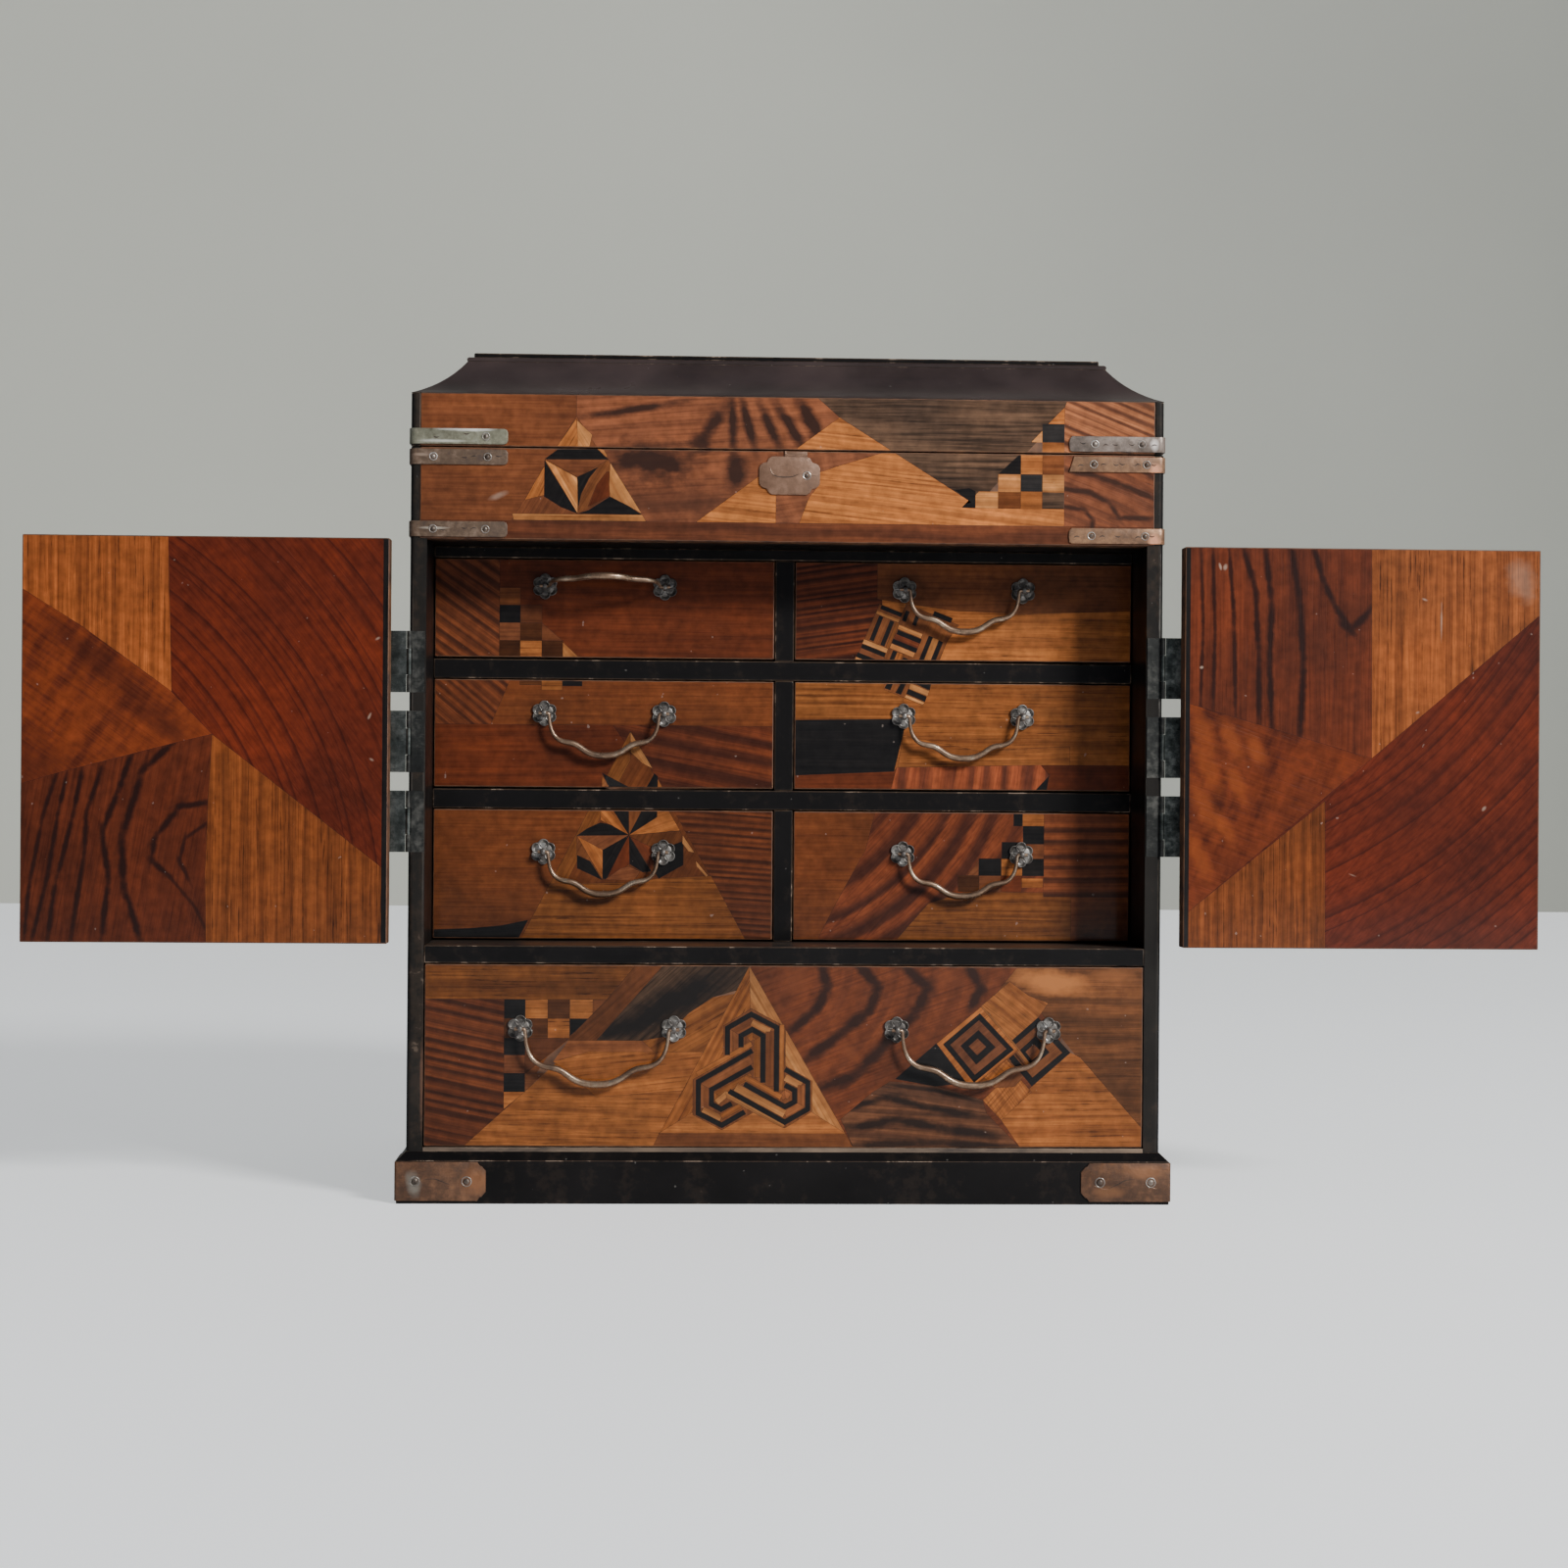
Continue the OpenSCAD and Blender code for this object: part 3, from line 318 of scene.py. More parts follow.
WOODS = {
    "honey": veneer_wood(
        "honey_katsura", (0.14, 0.045, 0.018), (0.07, 0.021, 0.01), (0.2, 0.066, 0.025), 0.25, lines=0.22,
        scuffs=((-115.5, 280, 5, 1.6, 22, 0.4),)),
    "cedar": veneer_wood(
        "light_cedar", (0.365, 0.112, 0.026), (0.115, 0.034, 0.0115), (0.51, 0.172, 0.042), 0.5, lines=0.85),
    "door_cedar": veneer_wood(
        "orange_cedar", (0.4, 0.104, 0.025), (0.11, 0.03, 0.01), (0.6, 0.165, 0.04), 0.5, lines=0.95, waver=0.04,
        scuffs=((292, 250, 7, 11, 20, 0.22), (259.8, 233, 0.45, 9, 0, 0.45), (253, 242, 1.6, 0.6, -20, 0.5),
        (250.5, 197, 1, 0.5, 20, 0.4))),
    "straw": veneer_wood(
        "straw_dogwood", (0.55, 0.205, 0.056), (0.2, 0.062, 0.018), (0.72, 0.31, 0.1), 0.55, lines=0.5),
    "walnut": veneer_wood(
        "brown_walnut", (0.165, 0.053, 0.0165), (0.07, 0.022, 0.009), (0.22, 0.072, 0.024), 0.4, lines=0.4),
    "brindle": veneer_wood(
        "brindled_walnut", (0.115, 0.043, 0.0195), (0.02, 0.0115, 0.0085), (0.17, 0.066, 0.028), 0.5, lines=0.4,
        streaks=((2.2, 0.95, 22, 37, 40, 42, 58, 38, 76, 35),
        (2.8, 0.95, 26, 30, 44, 33, 64, 30, 84, 27), (2.6, 0.9, 30, 23, 60, 24, 92, 22),
        (1.3, 0.8, 44, 47, 60, 45, 76, 41))),
    "katsura": veneer_wood(
        "orange_katsura", (0.16, 0.043, 0.0125), (0.085, 0.022, 0.008), (0.22, 0.063, 0.018), 0.22, lines=0.25),
    "russet": veneer_wood(
        "russet_chinaberry", (0.112, 0.0245, 0.0078), (0.048, 0.012, 0.005), (0.148, 0.034, 0.0105), 0.35,
        lines=0.25),
    "mahogany": veneer_wood(
        "dark_mahogany", (0.118, 0.0185, 0.0066), (0.042, 0.0085, 0.0046), (0.15, 0.0245, 0.0088), 0.8, 0.05,
        lines=0.15, hard=0.1, uneven=2.2, scuffs=((-161.5, 222.5, 1.3, 0.6, 30, 0.5),
        (-164.5, 192, 0.6, 1.8, -25, 0.55), (-163.5, 175, 1.2, 0.6, -30, 0.45), (277.5, 159, 1.4, 0.7, 50, 0.5),
        (224.6, 132.2, 2.0, 0.4, -20, 0.35))),
    "veined": veneer_wood(
        "veined_quince", (0.128, 0.027, 0.01), (0.024, 0.0085, 0.006), (0.165, 0.036, 0.013), 0.3, 0.07, lines=0.15,
        uneven=1.8, streaks=((1.2, 0.9, -286, 168, -291, 152, -296, 125, -298, 104),
        (1.3, 0.95, -282, 168, -285, 154, -289, 129, -295, 103),
        (1.4, 0.95, -276, 170, -279, 154, -286, 125, -289, 104),
        (1.5, 0.95, -268, 172, -274, 154, -275, 137, -280, 103),
        (1.8, 0.97, -257, 176, -262, 162, -268, 146, -265.5, 128, -268, 104),
        (2.1, 0.97, -239, 183, -252.5, 170, -260.5, 144, -259.5, 125, -253, 104),
        (1.8, 0.95, -226, 158, -238, 156, -247.5, 144, -249, 135, -242, 129),
        (1.2, 0.85, -227, 150, -236, 143.5, -238, 135, -234, 127),
        (1.0, 0.7, -242, 129, -232, 117, -227, 107), (1.1, 0.85, 163.3, 262, 164.3, 230, 163.3, 198),
        (1.2, 0.9, 168, 262, 169, 230, 168.5, 197), (1.3, 0.9, 174.5, 262, 176.5, 235, 177.5, 196),
        (1.8, 0.95, 180, 262, 185, 246, 186.5, 220, 187, 192),
        (1.9, 0.97, 189, 262, 191.5, 240, 191, 215, 192, 190),
        (2.0, 0.97, 199.5, 262, 203, 240, 204.5, 215, 203.5, 188),
        (1.9, 0.97, 208, 263, 212, 250, 216.5, 240, 223.5, 229.5),
        (2.4, 0.97, 219, 233, 223.5, 229.5, 231.5, 238)), scuffs=((171, 254.2, 0.6, 1.8, 15, 0.7),
        (173, 254, 1.0, 1.5, -20, 0.6), (163.8, 214.2, 0.9, 0.7, 20, 0.7))),
    "quince": veneer_wood(
        "red_quince", (0.15, 0.034, 0.012), (0.026, 0.009, 0.006), (0.205, 0.05, 0.0165), 0.92, 0.09, lines=0.15,
        uneven=1.6),
    "cathedral": veneer_wood(
        "cathedral_zelkova", (0.125, 0.0325, 0.0118), (0.031, 0.0135, 0.0092), (0.17, 0.046, 0.016), 0.3, lines=0.3,
        uneven=1.2, streaks=((2.9, 0.95, 13.3, 96, 16.9, 86, 12.5, 77, 1, 67),
        (3.1, 0.95, 28, 96, 37, 86, 33.5, 77, 23.4, 68.5, 9, 58),
        (3.4, 0.95, 46, 96, 56.5, 86, 52, 76, 43.5, 67, 28, 51, 12, 45),
        (2.8, 0.95, 72, 96, 78.2, 86, 74, 78)), glows=((4, 88, 8, 7, 0, 0.4), (64, 90, 7, 4, 0, 0.3),
        (26, 60, 8, 3, -40, 0.4))),
    "curly": veneer_wood(
        "curly_quince", (0.11, 0.0215, 0.0085), (0.05, 0.0115, 0.006), (0.225, 0.046, 0.013), 0.25, lines=0.15,
        curl=0.8, stains=((-296, 176, 22, 22, 0, 0.5), (-262, 206, 46, 6, -39, 0.55), (-246, 187, 30, 4, -36, 0.4),
        (222, 186, 22, 12, 20, 0.35), (158.6, 182.5, 1.7, 3.2, 0, 0.95)),
        glows=tuple((x, z, w, h, -66, 0.36, (0.36, 0.082, 0.0175)) for x, z, w, h in (
            (165, 189, 13, 5), (176, 185, 12, 4.4), (167, 174, 15, 5), (186, 181, 9, 4),
            (166, 158, 16, 5.4), (178, 168, 12, 4), (163, 140, 14, 4.4), (174, 150, 10, 3.6)))),
    "zelkova": veneer_wood(
        "banded_zelkova", (0.165, 0.043, 0.015), (0.034, 0.0125, 0.0072), (0.225, 0.062, 0.0205), 0.9, 0.12,
        lines=0.25, uneven=1.0),
    "amber": veneer_wood(
        "amber_zelkova", (0.345, 0.118, 0.048), (0.06, 0.0225, 0.014), (0.44, 0.165, 0.068), 0.95, 0.14, lines=0.3,
        uneven=0.9),
    "plum": veneer_wood(
        "plum_zelkova", (0.205, 0.062, 0.027), (0.05, 0.0215, 0.014), (0.265, 0.085, 0.036), 0.5, 0.42, lines=0.3,
        uneven=0.9, streaks=((1.7, 0.95, 110, 293, 122, 291, 134, 287, 148, 281),
        (1.5, 0.95, 109, 285.5, 120, 284, 128, 280, 132, 274, 146, 274),
        (1.6, 0.95, 109, 278.5, 118, 277, 121.5, 273, 121, 269), (1.4, 0.8, 136, 296, 148, 289))),
    "flame": veneer_wood(
        "flame_zelkova", (0.265, 0.087, 0.037), (0.04, 0.019, 0.0135), (0.33, 0.112, 0.049), 0.35, lines=0.3,
        stains=((-62.7, 314.8, 27, 2.3, 9, 0.95), (-31, 309, 4.2, 14, -32, 0.95), (-36, 302, 6.0, 6.5, -20, 0.85),
        (-55, 294.5, 24, 10.5, -3, 0.97), (-22.8, 309, 2.8, 17, 2, 0.97), (-21.6, 290.5, 6.2, 10, 0, 0.95),
        (-16.3, 309, 2.7, 16, 15, 0.97), (-8, 309, 2.9, 16, 25, 0.97), (0.6, 308.5, 3.1, 17, 33, 0.97),
        (8.5, 311, 4.2, 15, 29, 0.97), (-45, 279, 40, 11, 0, 0.6))),
    "bog": veneer_wood(
        "bog_oak", (0.04, 0.024, 0.015), (0.0115, 0.009, 0.008), (0.19, 0.105, 0.06), 0.5, lines=0.5, streaky=0.65,
        waver=0.3, stains=((-46, 79, 36, 8.5, 28, 0.97), (-66, 69, 16, 5, 12, 0.9))),
    "black": veneer_wood(
        "black_dyed_wood", (0.0088, 0.0075, 0.007), (0.0045, 0.0045, 0.0045), (0.015, 0.0125, 0.011), 0.3,
        lines=0.2),
    "ash": veneer_wood(
        "smoky_ash", (0.115, 0.041, 0.014), (0.052, 0.021, 0.0085), (0.245, 0.086, 0.028), 0.5, 0.3, lines=0.4,
        glows=((106, 88.5, 19, 6.5, -8, 0.95, (0.44, 0.155, 0.046)), (132, 91, 12, 3, 0, 0.5)),
        stains=((118, 70, 16, 5, -20, 0.35), (136, 45, 12, 6, -30, 0.3))),
}
WOOD_ORDER = sorted(WOODS)


def lacquer(name, worn=0.0, rough=0.3, coat=0.06, deep=(0.0080, 0.0071, 0.0069), rubs_and_highlights=()):
    """Black urushi lacquer. Worn lets the brown ground and pale wood show through."""
    f = Finish(name)
    cloud, chips, long_rub = f.noise(f.at, 30, 4), f.noise(f.at, 240, 4, 0.65), f.noise(f.at, (60, 60, 9))
    tint = f.ramp(cloud, (0.3, dimmed(deep, 0.6)), (0.75, dimmed(deep, 1.35)))
    edge = f.plus(f.times(chips, 0.6), f.times(long_rub, 0.5))
    ground = f.ramp(edge, (0.62 - worn * 0.3, 0.0), (0.70 - worn * 0.22, 1.0))
    bare = f.ramp(edge, (0.75 - worn * 0.2, 0.0), (0.80 - worn * 0.2, 1.0))
    tint = f.over(tint, (0.055, 0.036, 0.024), ground, min(1.0, worn * 1.4))
    tint = f.over(tint, (0.32, 0.23, 0.165), bare, worn)
    tint = f.over(tint, (0.24, 0.22, 0.20), f.specks(), 0.35)
    f.surface(Base_Color=f.rubs_and_highlights(tint, rubs_and_highlights), Roughness=f.ramp(cloud, (0.3, rough + 0.12), (0.7, rough)),
              Coat_Weight=coat, Coat_Roughness=0.16, Specular_IOR_Level=0.12)
    f.relief(f.noise(f.at, 420, 2), 0.00008, 0.35)
    return f.mat


def metal(name, base, deep, bright, rough=0.4, beaten=0.6, shine=1.0, rubs_and_highlights=()):
    """Hand-beaten metal with a brown patina, bright where it stands proud, and listed patches over it: worn places,
    and on some straps painted highlights.
    """
    f = Finish(name)
    cloud, blot = f.noise(f.at, 85, 3, 0.6), f.noise(f.at, 330, 4, 0.65)
    scratch, beat = f.noise(f.at, (260, 260, 1500), 2), f.noise(f.at, 300, 2)
    both = f.plus(f.times(cloud, 0.5), f.times(blot, 0.5))
    tint = f.ramp(both, (0.38, deep), (0.5, base), (0.64, bright))
    tint = f.over(tint, bright, f.ramp(scratch, (0.62, 0.0), (0.7, 1.0)), 0.3)
    tint = f.over(tint, deep, f.ramp(scratch, (0.3, 1.0), (0.38, 0.0)), 0.5)
    wear = f.math("MULTIPLY", f.attribute("wear", "Fac"), 1.0, clamp=True)
    f.surface(Base_Color=f.rubs_and_highlights(f.blend(wear, tint, bright), rubs_and_highlights), Metallic=shine,
              Roughness=f.ramp(blot, (0.35, rough + 0.16), (0.65, rough - 0.08)))
    f.relief(f.plus(beat, f.times(cloud, 2.0)), 0.00022, beaten)
    return f.mat


def plain_wood(name, base, dark, along=(6, 160, 160)):
    """Bare softwood of the trays and the inside of the case."""
    f = Finish(name)
    fibre, rings = f.noise(f.at, along, 4), f.noise(f.at, dimmed(along, 0.25), 2)
    tint = f.over(f.ramp(fibre, (0.3, dark), (0.7, base)), dark, f.ramp(rings, (0.45, 0.0), (0.6, 1.0)), 0.35)
    f.surface(Base_Color=tint, Roughness=0.62)
    f.relief(fibre, 0.0002, 0.5)
    return f.mat


BLACK = lacquer("black_lacquer", 0.12)
BLACK_WORN = lacquer("rubbed_lacquer_edge", 0.75, 0.36, 0.1)
# The lid cove's lacquer is lifted to a reddish brown, well above the other black lacquer: partly its own brown,
# partly painted reflection.
BLACK_GLOSS = lacquer("lid_moulding_lacquer_painted_reflection", 0.06, 0.26, 0.3, (0.048, 0.033, 0.03))
# Pale strips down the side boards' front edges: the bright one on the right board's outer edge is a painted
# highlight; the dimmer ones are partly painted highlight along the rounded edges, partly worn brown ground.
BOARD_EDGE = lacquer("board_edge_wear_and_painted_highlight", 0.24, 0.35, 0.1, (0.0185, 0.016, 0.0135),
    ((149.4, 218, 1.1, 52, 0, (0.2, 0.185, 0.165)), (149.5, 120, 0.9, 50, 0, (0.085, 0.07, 0.055)),
    (-148.8, 190, 0.6, 70, 0, (0.065, 0.057, 0.049)), (-144, 150, 0.5, 60, 0, (0.055, 0.047, 0.04)),
    (-143.9, 48, 0.9, 22, 0, (0.11, 0.058, 0.038))))
# The shelves' upward faces are paler than the other lacquer: painted sheen where the lamp catches them, with worn
# chips.
SHELF_TOP_WEAR_AND_SHEEN = lacquer("shelf_top_wear_and_painted_sheen", 0.45, 0.3, 0.3, (0.036, 0.032, 0.029))
GLUE = lacquer("glue_line", 0.3, 0.5, 0.1)
EDGE_WOOD = plain_wood("worn_veneer_edge", (0.2, 0.085, 0.035), (0.05, 0.022, 0.012), (200, 60, 200))
PALE_EDGE = plain_wood("pale_board_edge", (0.27, 0.185, 0.12), (0.06, 0.042, 0.03), (60, 160, 160))
INSIDE = plain_wood("bare_wood", (0.42, 0.27, 0.15), (0.3, 0.17, 0.085))
IRON = metal("dark_iron", (0.105, 0.092, 0.08), (0.045, 0.04, 0.036), (0.36, 0.34, 0.31), 0.4, 0.15, shine=0.6)
LEAF_IRON = metal("blackened_leaf", (0.026, 0.027, 0.024), (0.012, 0.012, 0.011), (0.12, 0.115, 0.1), 0.42,
    shine=0.6)
HINGE_IRON = metal("hinge_iron", (0.07, 0.078, 0.072), (0.026, 0.03, 0.028), (0.2, 0.21, 0.19), 0.42)
COPPER = metal("worn_copper", (0.36, 0.21, 0.135), (0.2, 0.115, 0.075), (0.62, 0.43, 0.31), 0.38, shine=0.6)
PLATE_COPPER = metal("brown_copper", (0.125, 0.062, 0.034), (0.08, 0.042, 0.026), (0.24, 0.115, 0.058), 0.42,
    shine=0.4, rubs_and_highlights=((-122, 9, 7, 7, 90, (0.24, 0.1, 0.042)), (-146.5, 8, 3.5, 6, 10, (0.23, 0.2, 0.16)),
    (143, 13, 9, 3.5, 0, (0.26, 0.115, 0.052)), (129, 5, 8, 3, 0, (0.22, 0.1, 0.046))))
# Its pale streaks along the strap's top edge and near the corner are painted highlights.
GREY_COPPER = metal("greenish_strap", (0.215, 0.205, 0.14), (0.12, 0.113, 0.075), (0.38, 0.37, 0.27), 0.42,
    shine=0.45, rubs_and_highlights=((-128, 306.3, 13, 1.1, 0, (0.8, 0.78, 0.68)), (-138, 301.5, 12, 0.8, 0, (0.62, 0.6, 0.5))))
NAIL = metal("nail_heads", (0.26, 0.215, 0.18), (0.1, 0.08, 0.066), (0.7, 0.66, 0.6), 0.34, shine=0.7)
NAIL_RING = metal("nail_rings", (0.115, 0.085, 0.065), (0.05, 0.038, 0.03), (0.36, 0.3, 0.25), 0.4, shine=0.5)
# Its pale orange patches where the straps fold round the corner are painted highlights.
TAN_COPPER = metal("tan_copper_strap", (0.24, 0.13, 0.072), (0.14, 0.078, 0.047), (0.42, 0.225, 0.115), 0.4,
    shine=0.45, rubs_and_highlights=((146.3, 293, 3.2, 4, 10, (0.8, 0.36, 0.2)), (146.3, 264.6, 3.2, 4, 10, (0.8, 0.36, 0.2))))
# Its pale patch where the strap folds round the corner is a painted highlight.
PINK_COPPER = metal("greyish_copper_strap", (0.175, 0.135, 0.108), (0.1, 0.078, 0.064), (0.34, 0.27, 0.225), 0.4,
    shine=0.45, rubs_and_highlights=((146, 303, 2.2, 3, 0, (0.7, 0.62, 0.56)),))
# Its pale streaks near the corner are painted highlights.
BROWN_COPPER = metal("dull_brown_strap", (0.125, 0.078, 0.048), (0.075, 0.048, 0.033), (0.27, 0.185, 0.13), 0.45,
    shine=0.35, rubs_and_highlights=((-146, 296, 4, 0.8, 0, (0.3, 0.21, 0.15)), (-141, 267, 7, 0.7, 0, (0.45, 0.38, 0.3))))
LOCK_COPPER = metal("lock_plate_copper", (0.195, 0.105, 0.062), (0.145, 0.078, 0.048), (0.29, 0.165, 0.105), 0.42,
    shine=0.35)
SILVER = metal("bare_strap_edge", (0.62, 0.6, 0.52), (0.34, 0.32, 0.26), (0.92, 0.91, 0.86), 0.3, shine=0.6)
CHASED = metal("chased_line", (0.035, 0.022, 0.016), (0.02, 0.014, 0.011), (0.07, 0.045, 0.03), 0.6, shine=0.1)
BAIL_METAL = metal("bail_wire", (0.285, 0.178, 0.112), (0.145, 0.092, 0.062), (0.52, 0.4, 0.28), 0.33, 0.15,
    shine=0.8)


# Marquetry. Each row is one piece of veneer, later ones over earlier ones, in mm on the front of the shut chest.
# A row gives its wood, its grain angle and its shape:
#   square x0 x1 z0 z1      cut x z x z ...      ribbon width x z x z ... (it lies along its own grain)
#   tilted s t s t ...      bar s0 s1 t0 t1      (both in the basket weave's axes)
# Then, if need be, its tone and its growth bands:
#   straight angle spacing  bands x z angle along across   (the bands' centre, turn and spacing)

def straight(angle, spacing):
    """Growth bands that run nearly straight, in that direction."""
    a, far = math.radians(angle), 900
    return far * math.sin(a), -far * math.cos(a), angle, far * 10, spacing


def from_weave(st):
    """The tilted basket weave has its own axes: s runs down to the right, t up to the right."""
    return [c for s, t in zip(st[::2], st[1::2])
            for c in (33.3 + 0.930 * s + 0.3665 * t, 226.3 - 0.3665 * s + 0.930 * t)]


def ribbon(width, *line):
    """A thin strip of veneer along a broken line, mitred at its bends: the angle and outline of each length."""
    pts = [Vector(p) for p in zip(line[::2], line[1::2])]
    sides = []
    for k, p in enumerate(pts):
        before = (p - pts[k - 1]).normalized() if k else None
        after = (pts[k + 1] - p).normalized() if k < len(pts) - 1 else None
        n1 = Vector((-before.y, before.x)) if before else None
        n2 = Vector((-after.y, after.x)) if after else None
        n = (n1 + n2).normalized() if n1 and n2 else (n1 or n2)
        reach = width / 2 / (n.dot(n1 or n2))
        sides.append((p + n * reach, p - n * reach))
    made = []
    for (a, b), (c, d), p, q in zip(sides, sides[1:], pts, pts[1:]):
        turn = math.degrees(math.atan2(q.y - p.y, q.x - p.x))
        made.append((turn, [a.x, a.y, b.x, b.y, d.x, d.y, c.x, c.y]))
    return made


def corners_of(x0, x1, z0, z1):
    return [x0, z0, x1, z0, x1, z1, x0, z1]


def veneers(table):
    """Reads a table into (wood, grain angle, outline, more) for each piece."""
    rows = []
    for line in table.splitlines():
        for word in line.partition("#")[0].split():
            if word in WOODS:
                numbers = []
                rows.append({"wood": word, "angle": numbers})
            elif word.isalpha():
                numbers = rows[-1][word] = []
            else:
                numbers.append(float(word))
    made = []
    for row in rows:
        more = {}
        if "tone" in row:
            more["tone"] = row["tone"][0]
        if "bands" in row or "straight" in row:
            more["bands"] = row.get("bands") or straight(*row["straight"])
        if "ribbon" in row:
            shapes = ribbon(*row["ribbon"])
        elif "bar" in row:
            s0, s1, t0, t1 = row["bar"]
            shapes = [(-21.5 if s1 - s0 > t1 - t0 else 68.5, from_weave(corners_of(s0, s1, t0, t1)))]
        elif "tilted" in row:
            shapes = [(row["angle"][0], from_weave(row["tilted"]))]
        else:
            shapes = [(row["angle"][0], row.get("cut") or corners_of(*row["square"]))]
        made += [(row["wood"], angle, outline, more) for angle, outline in shapes]
    return made


LID_AND_TILL = veneers("""
honey 0 square -146.5 -84.7 262 321
flame 4 square -84.7 60 262 321 straight 4 7
# The small light triangle with the cube figure
honey 60 cut -84.7 312 -110 270.5 -57 270.5 tone 1.12
cedar 60 cut -84.7 311 -92.6 299.5 -84 299.5
straw -58 cut -84.5 310.4 -84 299.5 -79.6 299.5 -78.4 304.6
cedar 65 cut -97.2 292 -97.2 280.5 -105 278.5 -98.5 290
black 0 cut -97 294.9 -91.3 299.2 -76.5 299.2 -72.1 295.1
straw -40 cut -76.4 299.2 -74 299.2 -72.3 296.1 -73 295.9
walnut 60 cut -97 294.8 -72 295 -71.2 293.5 -71.2 280.5 -83.8 273.3 -97.2 281
honey 0 cut -96.4 294.7 -72 294.9 -84.3 287.8
straw -60 cut -97 294.4 -84.3 287.6 -83.9 285 -84 273.4
black 60 cut -97.2 294.2 -84 273.3 -90.5 275.8 -97.3 280
black 60 cut -84.2 287.8 -76 291.9 -79.5 287.5 -82.6 281.3 -83.9 275.5
russet 70 cut -72.6 290 -71.3 290 -71.3 280.5 -80 276 -76.5 285
black 0 cut -83.5 273.4 -79.5 274.8 -71.2 280.2 -64 276.6 -58.8 273.2
straw -60 cut -71.2 293.6 -58.6 273.6 -64 276.6 -71.2 280.2 -71.6 285 tone 0.85
straw 0 cut -109.8 273 -109.3 270.6 -56.8 270.5 -58.4 273.1 tone 0.75
# The wide light triangle and the bog oak
cedar -6 cut 19.8 312.8 -37 270.5 110 270.5 110 277.5 69 277.5 71.5 280.4 tone 1.3 bands 20 400 -6 900 3.1
flame 10 cut -5.3 270.5 -5.3 299.2 38 299.2 20 293.6 11 290.5 12 286 8 281 4 270.5 bands 40 300 10 9 9 tone 0.85
bog 0 cut 10.5 321 111 321 111 317 73.8 277.5 68.9 277.5 71.6 280.4 19.8 312.8 bands 60 250 0 260 26
cedar 0 cut 103.2 311.2 109.9 318 109.9 311.2
straw 0 cut 96.5 303.9 101 308.6 101 303.9
black 0 square 101 109.8 303.9 311.2 tone 2.4
cedar 0 square 101 109.8 299.4 303.9 tone 0.8
black 0 cut 92.4 299.4 83.4 291 92.4 291
walnut 0 square 101.1 109.8 291 299.2
cedar 0 square 92.4 101.1 291 299.2 tone 0.9
straw 0 square 101.1 109.8 283.9 291 tone 0.8
black 0 square 92.4 101.1 284.2 291 tone 2.4
straw 0 square 83.4 92.4 283.8 291 tone 0.9
bog 0 square 101.1 109.8 277.3 283.9 straight 0 60
cedar 0 square 92.4 101.1 277.3 284.2 tone 0.75
walnut 0 square 83.4 92.4 277.3 283.8 tone 0.7
straw 0 cut 74.3 277.3 83.4 277.3 83.4 284 75.6 284 74.3 282.5 tone 0.85
black 0 cut 68.9 277.5 74.3 277.3 74.3 284 71.8 285.2 66 284.4 71.6 280.4
# The banded zelkova at the right, and the plain rail along the bottom
amber -20 cut 109.9 299.4 146.5 299.4 146.5 321 111 321 109.9 318 straight -22 3.4
plum -20 square 109.9 146.5 270.4 299.4 bands 100 240 -18 9 6.5
plum 0 square -146.5 146.5 262 270.4 tone 0.66
""")

